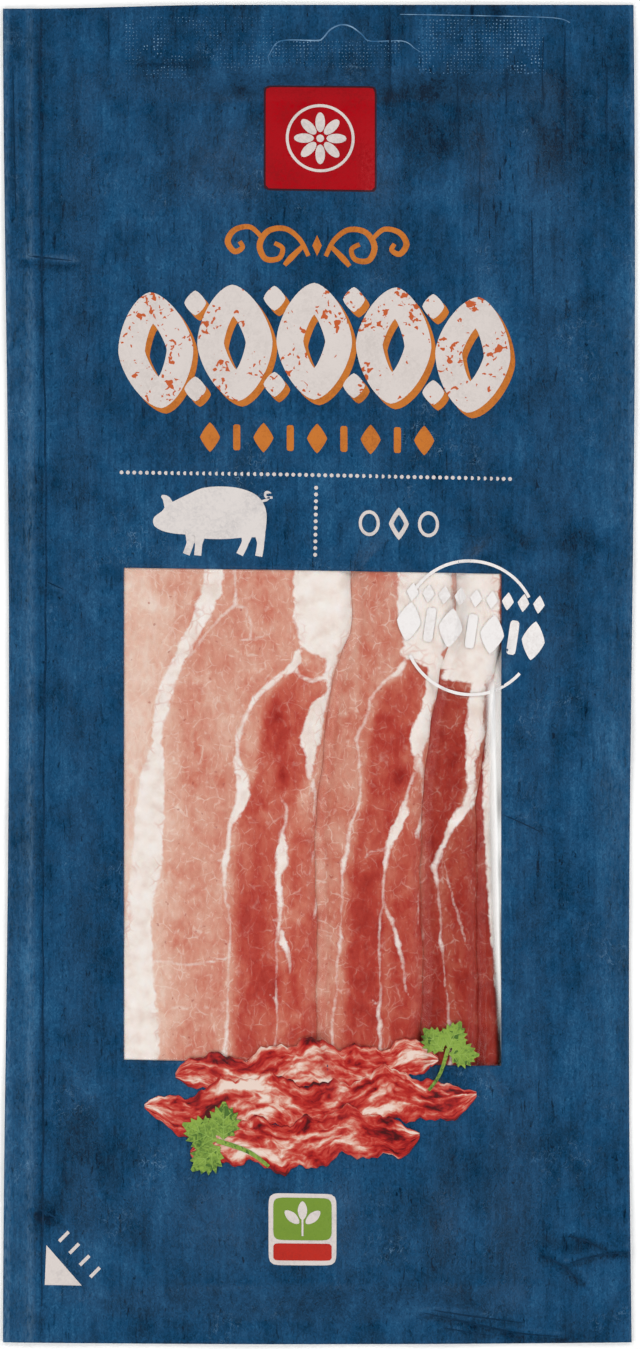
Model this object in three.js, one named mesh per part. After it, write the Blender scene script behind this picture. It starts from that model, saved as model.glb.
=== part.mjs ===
// Flat vacuum pack of sliced bacon, lying on its back with the printed face up.
// Millimetres: +X across the pack, +Y towards the hanging end, +Z out of the printed face.
// The origin is on the table, under the middle of the pack.
import * as THREE from 'three';

// The pack and its two webs of film
const packWidth = 132.7;
const packLength = 281.2;
const filmThickness = 0.35;
const clearance = 0.25;

// How far the cut edges wander from a true rectangle
const leftEdgeBow = 1.25;
const rightEdgeWave = 0.63;
const rightWaveCentre = 10;
const rightWaveHalfLength = 157;
const topEdgeDip = 0.8;
const topDipStart = -20;
const topDipEnd = -60;
const bottomEdgeBow = 0.4;

// The print, and with it the clear window, sits a little askew on the web
const printSlope = 0.0165;
const straightPrintHalf = 100;
const windowLeft = -40.9;
const windowRight = 38.2;
const windowTop = 21.7;
const windowBottom = -81.4;

// Four shingled slices: number 1 lies on top at the left, and each next one reaches further right
const sliceThickness = 1.7;
const sliceEdgeThickness = 0.45 * sliceThickness;
const sliceEdgeRounding = 2.5;
const sliceLeft = -44.5;
const sliceShifts = [0, 22, 33, 37];
const sliceTopEnd = 119;
const sliceBottomEnd = -127;
const sliceEndStep = 1.2;
const sliceCornerRadius = 12;
const sagLength = 22;

// The right edge of a slice steps inwards once along its length
const rightEdgeMiddle = 3.0;
const rightEdgeStep = 3.7;
const rightEdgeStepLength = 9;

// How the upper web comes down from the slices
const stepReach = 1;
const stepDrape = 4;
const outerReach = 1;
const outerDrape = 9;
const endReach = 1.2;
const endDrape = 6.5;

const filmColour = 0x20486b;
const clearColour = 0xf3efe9;
const baseColour = 0xdfe5ea;
const baconColours = [0xd49a86, 0xc46a58, 0xb55446, 0xe3c4b4];

const lerp = THREE.MathUtils.lerp;
const rise = THREE.MathUtils.smoothstep;

// Evenly spaced stations from a to b, without b itself
function span(a, b, cells) {
  return Array.from({ length: cells }, (_, i) => lerp(a, b, i / cells));
}

// A point of the flat rectangle, moved to where the real web has it
function onWeb(u, v) {
  const left = leftEdgeBow * (1 - (2 * v / packLength) ** 2) ** 2;
  const wave = Math.sin(Math.PI * (v - rightWaveCentre) / rightWaveHalfLength);
  const right = rightEdgeWave * (wave - 1);
  const leftShare = rise(-u, -windowLeft, packWidth / 2);
  const rightShare = rise(u, windowRight, packWidth / 2);
  const dip = -topEdgeDip * rise(-u, -topDipStart, -topDipEnd);
  const bow = bottomEdgeBow * (2 * u / packWidth) ** 2;
  const topShare = rise(v, straightPrintHalf, packLength / 2);
  const bottomShare = rise(-v, straightPrintHalf, packLength / 2);
  const x = u + left * leftShare + right * rightShare;
  const y = v + dip * topShare + bow * bottomShare
    - printSlope * u * (1 - topShare) * (1 - bottomShare);
  return [x, y];
}

// Left and right edge of a slice at one place along the pack
function sliceEdges(index, y) {
  const right = rightEdgeMiddle + rightEdgeStep * Math.tanh(y / rightEdgeStepLength);
  return [sliceLeft + sliceShifts[index], right + sliceShifts[index]];
}

// Lower slices are a little longer than the ones that lie on them
function sliceEnds(index) {
  const spare = (sliceShifts.length - 1 - index) * sliceEndStep;
  return [sliceBottomEnd + spare, sliceTopEnd - spare];
}

// How far the layers above are lifted by a slice: 0 well left of it, 1 over it
function liftedBy(index, x) {
  const left = sliceLeft + sliceShifts[index];
  const sag = index === 0 ? outerDrape : sagLength;
  return rise(x, left - sag, left);
}

// Height of the underside of a slice, which sags on to the ones under it
function sliceUnderside(index, x) {
  let height = filmThickness + clearance;
  for (let under = index + 1; under < sliceShifts.length; under += 1) {
    height += (sliceThickness + clearance) * liftedBy(under, x);
  }
  return height;
}

// Height of the underside of the upper web: sealed flat round the rim, draped over the slices
function webUnderside(x, y) {
  const [bottomEnd, topEnd] = sliceEnds(sliceShifts.length - 1);
  const inside = (1 - rise(y, topEnd + endReach, topEnd + endReach + endDrape))
    * rise(y, bottomEnd - endReach - endDrape, bottomEnd - endReach);
  let height = filmThickness + clearance;
  sliceShifts.forEach((_, index) => {
    const outermost = index === sliceShifts.length - 1;
    const reach = outermost ? outerReach : stepReach;
    const drape = outermost ? outerDrape : stepDrape;
    const start = sliceEdges(index, y)[1] + reach;
    const cover = liftedBy(index, x) * (1 - rise(x, start, start + drape));
    height += (sliceThickness + clearance) * cover * inside;
  });
  return height;
}

// A closed slab over a grid of cells: an upper and a lower skin, and a wall at every open edge
function gridSlab(columns, rows, place, underside, topside, keep = () => true) {
  const positions = [];
  for (const v of rows) {
    for (const u of columns) {
      const [x, y] = place(u, v);
      positions.push(x, y, underside(x, y), x, y, topside(x, y));
    }
  }
  const corner = (i, j, level) => (j * columns.length + i) * 2 + level;
  const middle = (list, i) => (list[i] + list[i + 1]) / 2;
  const kept = (i, j) => i >= 0 && j >= 0 && i < columns.length - 1 && j < rows.length - 1
    && keep(middle(columns, i), middle(rows, j));
  const index = [];
  const quad = (a, b, c, d) => index.push(a, b, c, a, c, d);
  for (let j = 0; j < rows.length - 1; j += 1) {
    for (let i = 0; i < columns.length - 1; i += 1) {
      if (!kept(i, j)) continue;
      const [a, b, c, d] = [[i, j], [i + 1, j], [i + 1, j + 1], [i, j + 1]];
      const low = ([p, q]) => corner(p, q, 0);
      const high = ([p, q]) => corner(p, q, 1);
      quad(high(a), high(b), high(c), high(d));
      quad(low(a), low(d), low(c), low(b));
      if (!kept(i, j - 1)) quad(low(a), low(b), high(b), high(a));
      if (!kept(i + 1, j)) quad(low(b), low(c), high(c), high(b));
      if (!kept(i, j + 1)) quad(low(c), low(d), high(d), high(c));
      if (!kept(i - 1, j)) quad(low(d), low(a), high(a), high(d));
    }
  }
  const shared = new THREE.BufferGeometry();
  shared.setAttribute('position', new THREE.Float32BufferAttribute(positions, 3));
  shared.setIndex(index);
  const geometry = shared.toNonIndexed();
  geometry.computeVertexNormals();
  return geometry;
}

function named(name, geometry, colour, roughness) {
  const material = new THREE.MeshStandardMaterial({ color: colour, roughness, metalness: 0 });
  const mesh = new THREE.Mesh(geometry, material);
  mesh.name = name;
  return mesh;
}

// Lower web: a flat sheet that the whole pack rests on
function lowerFilm() {
  const columns = [...span(-packWidth / 2, packWidth / 2, 8), packWidth / 2];
  const rows = [...span(-packLength / 2, packLength / 2, 24), packLength / 2];
  return gridSlab(columns, rows, onWeb, () => 0, () => filmThickness);
}

// Upper web where it is printed, with the window left out
function printedFilm() {
  const flangeLeft = sliceLeft - outerDrape;
  const flangeRight = sliceEdges(sliceShifts.length - 1, packLength)[1] + outerReach + outerDrape;
  const [bottomEnd, topEnd] = sliceEnds(sliceShifts.length - 1);
  const columns = [
    ...span(-packWidth / 2, flangeLeft, 3),
    ...span(flangeLeft, windowLeft, 4),
    ...span(windowLeft, windowRight, 18),
    ...span(windowRight, flangeRight, 5),
    ...span(flangeRight, packWidth / 2, 3),
    packWidth / 2,
  ];
  const rows = [
    ...span(-packLength / 2, bottomEnd - endReach - endDrape, 2),
    ...span(bottomEnd - endReach - endDrape, bottomEnd, 3),
    ...span(bottomEnd, windowBottom, 5),
    ...span(windowBottom, windowTop, 12),
    ...span(windowTop, topEnd, 10),
    ...span(topEnd, topEnd + endReach + endDrape, 3),
    ...span(topEnd + endReach + endDrape, packLength / 2, 2),
    packLength / 2,
  ];
  const outsideWindow = (u, v) => u < windowLeft || u > windowRight
    || v < windowBottom || v > windowTop;
  const topside = (x, y) => webUnderside(x, y) + filmThickness;
  return gridSlab(columns, rows, onWeb, webUnderside, topside, outsideWindow);
}

// Upper web where it is clear: the pane that the slices show through
function windowFilm() {
  const left = windowLeft + clearance;
  const right = windowRight - clearance;
  const bottom = windowBottom + clearance;
  const top = windowTop - clearance;
  const columns = [...span(left, right, 24), right];
  const rows = [...span(bottom, top, 16), top];
  const topside = (x, y) => webUnderside(x, y) + filmThickness;
  return gridSlab(columns, rows, onWeb, webUnderside, topside);
}

// One slice: a long strip with round corners and rounded edges
function baconSlice(index) {
  const [bottomEnd, topEnd] = sliceEnds(index);
  const quarter = span(0, Math.PI / 2, 3).map((angle) => sliceCornerRadius * (1 - Math.cos(angle)));
  const columns = [0, 0.03, ...span(0.1, 0.9, 8), 0.9, 0.97, 1];
  const rows = [
    ...quarter.map((depth) => bottomEnd + depth),
    ...span(bottomEnd + sliceCornerRadius, windowBottom, 2),
    ...span(windowBottom, windowTop, 13),
    ...span(windowTop, topEnd - sliceCornerRadius, 5),
    topEnd - sliceCornerRadius,
    ...quarter.map((depth) => topEnd - depth).reverse(),
  ];
  const insetAt = (y) => {
    const toEnd = Math.min(y - bottomEnd, topEnd - y, sliceCornerRadius);
    return sliceCornerRadius
      - Math.sqrt(sliceCornerRadius ** 2 - (sliceCornerRadius - toEnd) ** 2);
  };
  const place = (u, y) => {
    const [left, right] = sliceEdges(index, y);
    return [lerp(left + insetAt(y), right - insetAt(y), u), y];
  };
  const underside = (x) => sliceUnderside(index, x);
  const topside = (x, y) => {
    const [left, right] = sliceEdges(index, y);
    const toSide = Math.min(x - left - insetAt(y), right - insetAt(y) - x);
    const toEdge = Math.min(toSide, y - bottomEnd, topEnd - y, sliceEdgeRounding);
    const round = Math.sqrt(Math.max(0, 1 - (1 - toEdge / sliceEdgeRounding) ** 2));
    return underside(x) + lerp(sliceEdgeThickness, sliceThickness, round);
  };
  return gridSlab(columns, rows, place, underside, topside);
}

const pack = new THREE.Group();
pack.add(named('lower_film', lowerFilm(), baseColour, 0.35));
sliceShifts.forEach((_, index) => {
  pack.add(named(`bacon_slice_${index + 1}`, baconSlice(index), baconColours[index], 0.5));
});
pack.add(named('printed_film', printedFilm(), filmColour, 0.4));
pack.add(named('window_film', windowFilm(), clearColour, 0.1));

export default pack;
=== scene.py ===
import math
from functools import partial

import bmesh
import bpy
import numpy as np
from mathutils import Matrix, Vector
from mathutils.geometry import tessellate_polygon


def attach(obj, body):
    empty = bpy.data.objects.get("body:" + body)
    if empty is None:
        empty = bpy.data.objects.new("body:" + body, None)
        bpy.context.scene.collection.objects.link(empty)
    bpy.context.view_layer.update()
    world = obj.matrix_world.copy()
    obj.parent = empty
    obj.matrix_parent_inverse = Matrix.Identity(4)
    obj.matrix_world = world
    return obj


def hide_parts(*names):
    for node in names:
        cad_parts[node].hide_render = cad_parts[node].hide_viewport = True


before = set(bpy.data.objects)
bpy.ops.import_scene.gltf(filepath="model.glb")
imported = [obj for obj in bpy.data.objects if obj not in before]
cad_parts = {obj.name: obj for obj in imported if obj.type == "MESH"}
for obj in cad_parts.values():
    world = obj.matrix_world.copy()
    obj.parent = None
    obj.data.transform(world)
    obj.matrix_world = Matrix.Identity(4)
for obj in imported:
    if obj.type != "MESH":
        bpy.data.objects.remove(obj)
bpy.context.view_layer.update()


# The table, the lamps and the camera
# The pack lies on a plain white table in a light tent. Four large soft lamps stand low round it,
# as on a copying stand. The tent is open at the top, so that flat film mirrors only the dark
# above it. A long lens looks straight down.
MM = 0.001
PHOTO_WIDTH, PHOTO_HEIGHT, PHOTO_MM_PER_PIXEL = 640, 1349, 0.21
PACK_MIDDLE_COLUMN = 319.0
LENS_MM, SENSOR_MM = 200.0, 36.0
LAMP_WATTS, LAMP_DISTANCE, LAMP_SIZE, LAMP_ELEVATION = 3.1, 1.0, 0.55, math.radians(42)
TENT_GREY, DARK_ABOVE, TENT_OPENING = "#CBCBCC", "#303032", (0.55, 0.85)


def paint(code):
    """An sRGB hex colour as the linear RGBA that Blender's sockets take."""
    parts = [int(code[i:i + 2], 16) / 255 for i in (1, 3, 5)]
    return [c / 12.92 if c <= 0.04045 else ((c + 0.055) / 1.055) ** 2.4 for c in parts] + [1.0]


def add_node(tree, kind, *feeds, out=None, stops=(), **named):
    """Adds a node. A name that the node has as a property is set, and any other feeds the input
    of that name. Feeds without a name go to the shown inputs in turn, and stops to a ramp of
    colours. Returns the first output, or the one that out names."""
    node = tree.nodes.new(kind)
    for name in [name for name in named if hasattr(node, name)]:
        setattr(node, name, named.pop(name))
    fed = list(zip([socket for socket in node.inputs if socket.enabled], feeds))
    fed += [(node.inputs[name.replace("_", " ")], value) for name, value in named.items()]
    for socket, value in fed:
        if isinstance(value, bpy.types.NodeSocket):
            tree.links.new(value, socket)
        else:
            socket.default_value = value
    for _ in stops[2:]:
        node.color_ramp.elements.new(1.0)
    for element, (place, code) in zip(node.color_ramp.elements if stops else (), stops):
        element.position, element.color = place, paint(code)
    shown = [socket for socket in node.outputs if socket.enabled]
    return node.outputs[out] if out else (shown or [None])[0]


def new_material(name):
    """An empty material, what adds nodes to it, and the place of each point on the object."""
    made = bpy.data.materials.new(name)
    made.use_nodes = True
    made.node_tree.nodes.clear()
    add = partial(add_node, made.node_tree)
    return made, add, add("ShaderNodeTexCoord", out="Object")


def put_in_scene(name, data):
    made = bpy.data.objects.new(name, data)
    bpy.context.collection.objects.link(made)
    return made


# White laminate: smooth, matt and even, with a faint mottle of 33 mm in its gloss
laminate, add, where = new_material("white_laminate")
tone = add("ShaderNodeMapRange", add("ShaderNodeTexNoise", where, 30.0), 0.0, 1.0, 0.68, 0.74)
add("ShaderNodeOutputMaterial", add(
    "ShaderNodeBsdfPrincipled", Base_Color=paint("#FBFBFA"), Roughness=tone,
    Specular_IOR_Level=0.2))
bpy.ops.mesh.primitive_plane_add(size=6.0, location=(0, 0, -0.0001))
table = bpy.context.object
table.name = "table_top"
table.data.materials.append(laminate)

for number in range(4):
    turn = math.radians(45 + 90 * number)
    lamp = bpy.data.lights.new(f"side_lamp_{number + 1}", "AREA")
    lamp.size, lamp.energy = LAMP_SIZE, LAMP_WATTS
    away = Vector((math.cos(turn) * math.cos(LAMP_ELEVATION),
                   math.sin(turn) * math.cos(LAMP_ELEVATION), math.sin(LAMP_ELEVATION)))
    stand = put_in_scene(lamp.name, lamp)
    stand.location = away * LAMP_DISTANCE
    stand.rotation_euler = away.to_track_quat("Z", "Y").to_euler()

tent = bpy.data.worlds.new("light_tent")
tent.use_nodes = True
add = partial(add_node, tent.node_tree)
height = add("ShaderNodeSeparateXYZ", add("ShaderNodeTexCoord", out="Generated"), out="Z")
opening = add("ShaderNodeMapRange", height, *TENT_OPENING, interpolation_type="SMOOTHSTEP")
shade = add("ShaderNodeMix", opening, paint(TENT_GREY), paint(DARK_ABOVE), data_type="RGBA")
tent.node_tree.links.new(shade, tent.node_tree.nodes["Background"].inputs["Color"])
bpy.context.scene.world = tent
bpy.context.scene.view_settings.view_transform = "Standard"

# The frame is the whole photograph's, whose long side is the sensor's width
lens = bpy.data.cameras.new("camera")
lens.lens, lens.sensor_width, lens.clip_start = LENS_MM, SENSOR_MM, 0.05
camera = put_in_scene("camera", lens)
camera.location = ((PHOTO_WIDTH / 2 - PACK_MIDDLE_COLUMN) * PHOTO_MM_PER_PIXEL * MM, 0,
                   PHOTO_HEIGHT * PHOTO_MM_PER_PIXEL * MM * LENS_MM / SENSOR_MM)
bpy.context.scene.camera = camera


# The lower web
# A clear nylon and polyethylene laminate, unprinted, that the slices are laid on. It is welded to
# the upper web all round, so its rim waves with it, and the pack lies flat on its middle.
PACK_WIDTH, PACK_LENGTH = 132.7, 281.2
LEFT_EDGE_BOW, RIGHT_EDGE_WAVE, TOP_EDGE_DIP, BOTTOM_EDGE_BOW = 1.25, 0.63, 0.8, 0.4
RIGHT_WAVE_CENTRE, RIGHT_WAVE_HALF_LENGTH = 10, 157
PRINT_SLOPE, STRAIGHT_PRINT_HALF = 0.0165, 100.0
WINDOW_LEFT, WINDOW_RIGHT, WINDOW_TOP, WINDOW_BOTTOM = -40.9, 38.2, 21.7, -81.4
LOWER_WEB_THICKNESS = 0.25
RIM_LIFT, RIM_LIFT_REACH = 0.3, 9.0


def rise(value, start, end):
    """0 before start, 1 after end, and smooth between."""
    t = np.clip((value - start) / (end - start), 0.0, 1.0)
    return t * t * (3.0 - 2.0 * t)


def ripple(x, y, length, seed):
    """Gentle waviness of about that length, mostly from -1 to 1."""
    draw = np.random.default_rng(seed)
    total = np.zeros_like(x)
    for _ in range(8):
        turn, phase, stretch = draw.uniform((0, 0, 0.7), (math.tau, math.tau, 1.5))
        along = x * math.cos(turn) + y * math.sin(turn)
        total += np.sin(along * math.tau / (length * stretch) + phase)
    return total / 4


def on_web(u, v):
    """A point of the flat rectangle, moved to where the cut web has it."""
    left = LEFT_EDGE_BOW * (1 - (2 * v / PACK_LENGTH) ** 2) ** 2
    wave = np.sin(np.pi * (v - RIGHT_WAVE_CENTRE) / RIGHT_WAVE_HALF_LENGTH)
    dip = -TOP_EDGE_DIP * rise(-u, 20, 60)
    bow = BOTTOM_EDGE_BOW * (2 * u / PACK_WIDTH) ** 2
    top_share = rise(v, STRAIGHT_PRINT_HALF, PACK_LENGTH / 2)
    bottom_share = rise(-v, STRAIGHT_PRINT_HALF, PACK_LENGTH / 2)
    x = u + left * rise(-u, -WINDOW_LEFT, PACK_WIDTH / 2)
    x = x + RIGHT_EDGE_WAVE * (wave - 1) * rise(u, WINDOW_RIGHT, PACK_WIDTH / 2)
    y = v + dip * top_share + bow * bottom_share
    return x, y - PRINT_SLOPE * u * (1 - top_share) * (1 - bottom_share)


def rim_lift(x, y):
    """How far the welded rim stands off the table."""
    to_rim = np.minimum(PACK_WIDTH / 2 - np.abs(x), PACK_LENGTH / 2 - np.abs(y))
    near = 1 - rise(to_rim, 0, RIM_LIFT_REACH)
    return RIM_LIFT * near * (0.5 + 0.5 * np.clip(ripple(x, y, 46, 5), -1, 1))


def stations(*stops):
    """Places along a line: each stop is (where it ends, how many steps lead there)."""
    places = [stops[0]]
    for end, steps in stops[1:]:
        places.extend(np.linspace(places[-1], end, steps + 1)[1:])
    return np.array(places)


def slab(name, columns, rows, place, low, high, keep=None):
    """A closed sheet over a grid of cells: a lower and an upper skin, and a wall at each open
    edge. Returns the object, and the x and y of each of its points in mm."""
    u, v = np.meshgrid(columns, rows)
    x, y = place(u, v)
    points = np.concatenate([np.stack([x, y, skin(x, y)], -1).reshape(-1, 3)
                             for skin in (low, high)])
    cells = np.ones((len(rows) - 1, len(columns) - 1), bool)
    if keep is not None:
        cells = keep((u[1:, 1:] + u[:-1, :-1]) / 2, (v[1:, 1:] + v[:-1, :-1]) / 2)
    corner = np.arange(x.size).reshape(x.shape)
    a, b, c, d = corner[:-1, :-1], corner[:-1, 1:], corner[1:, 1:], corner[1:, :-1]
    skins = [np.stack([p[cells] for p in (a, b, c, d)], 1) + x.size,
             np.stack([p[cells] for p in (a, d, c, b)], 1)]
    beside = np.pad(cells, 1)
    walls = []
    for p, q, neighbour in ((a, b, beside[:-2, 1:-1]), (b, c, beside[1:-1, 2:]),
                            (c, d, beside[2:, 1:-1]), (d, a, beside[1:-1, :-2])):
        edge = cells & ~neighbour
        walls.append(np.stack([p[edge], q[edge], q[edge] + x.size, p[edge] + x.size], 1))
    used, faces = np.unique(np.concatenate(skins + walls), return_inverse=True)
    mesh = bpy.data.meshes.new(name)
    mesh.from_pydata((points[used] * MM).tolist(), [], faces.reshape(-1, 4).tolist())
    smooth = np.arange(len(mesh.polygons)) < len(skins[0]) + len(skins[1])
    mesh.polygons.foreach_set("use_smooth", smooth)
    return put_in_scene(name, mesh), points[used, 0], points[used, 1]


def finish_piece(piece, material, slot, *nodes):
    """Gives a finished piece its material and its place in the frame."""
    piece.data.materials.clear()
    piece.data.materials.append(material)
    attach(piece, "root")
    if nodes:
        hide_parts(*nodes)


# Clear laminate over a white table: milky, with drawing lines 1.4 mm apart from the film's rolls
base_laminate, add, where = new_material("polyamide_polyethylene_laminate")
drawn = add("ShaderNodeMapping", where, Scale=(700, 25, 700))
lines = add("ShaderNodeTexNoise", drawn, 1.0, 3.0)
colour = add("ShaderNodeValToRGB", lines, stops=[(0, "#C9D3DB"), (1, "#DCE3E8")])
bump = add("ShaderNodeBump", Height=lines, Strength=0.3, Distance=0.0001)
add("ShaderNodeOutputMaterial", add(
    "ShaderNodeBsdfPrincipled", Base_Color=colour, Roughness=0.28, IOR=1.5, Normal=bump))

lower_web, _, _ = slab(
    "lower_web", stations(-PACK_WIDTH / 2, (-56, 12), (56, 40), (PACK_WIDTH / 2, 12)),
    stations(-PACK_LENGTH / 2, (-128, 14), (128, 90), (PACK_LENGTH / 2, 14)),
    on_web, rim_lift, lambda x, y: rim_lift(x, y) + LOWER_WEB_THICKNESS)
finish_piece(lower_web, base_laminate, "base_film", "lower_film")


# The bacon
# Four slices of cured, smoked pork belly, cut across the muscles on a slicer and shingled to the
# right, each lying on the next. Neighbouring slices show the same seams of fat, a little changed.
SLICE_SHIFTS, SLICE_LEFT = (0.0, 22.0, 33.6, 38.4), -44.5
SLICE_PITCH, SLICE_THICKNESS, SLICE_BASE = 1.9, 1.86, 0.45
EDGE_THINNING, EDGE_SLOPE, LEAN_HOLLOW = 1.78, 2.6, 0.05
SLICE_BOTTOM_END, SLICE_TOP_END, SLICE_END_STEP = -127.0, 119.0, 1.2
SLICE_CORNER_RADIUS, CORNER_ROWS = 12.0, 7
SAG_LENGTH, END_TAPER, END_THINNING = 22.0, 22.0, 0.45
SHOWN_COLUMN_STEP, SHOWN_ROWS, SHOWN_MARGIN, COVERED_COLUMNS = 0.32, 175, 6.0, 12
# Where the right edge of slice 1 runs, as (y, x). Those of the next are moved by their shifts.
RIGHT_EDGE = [(-127, -0.9), (-60, -0.4), (-40, -0.8), (-27, -0.6), (-15, 1), (-9, 1.6), (-5.3, 2.3),
              (0.8, 3.3), (5.3, 4.8), (8.3, 6.4), (12, 6.8), (119, 6.7)]
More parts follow.
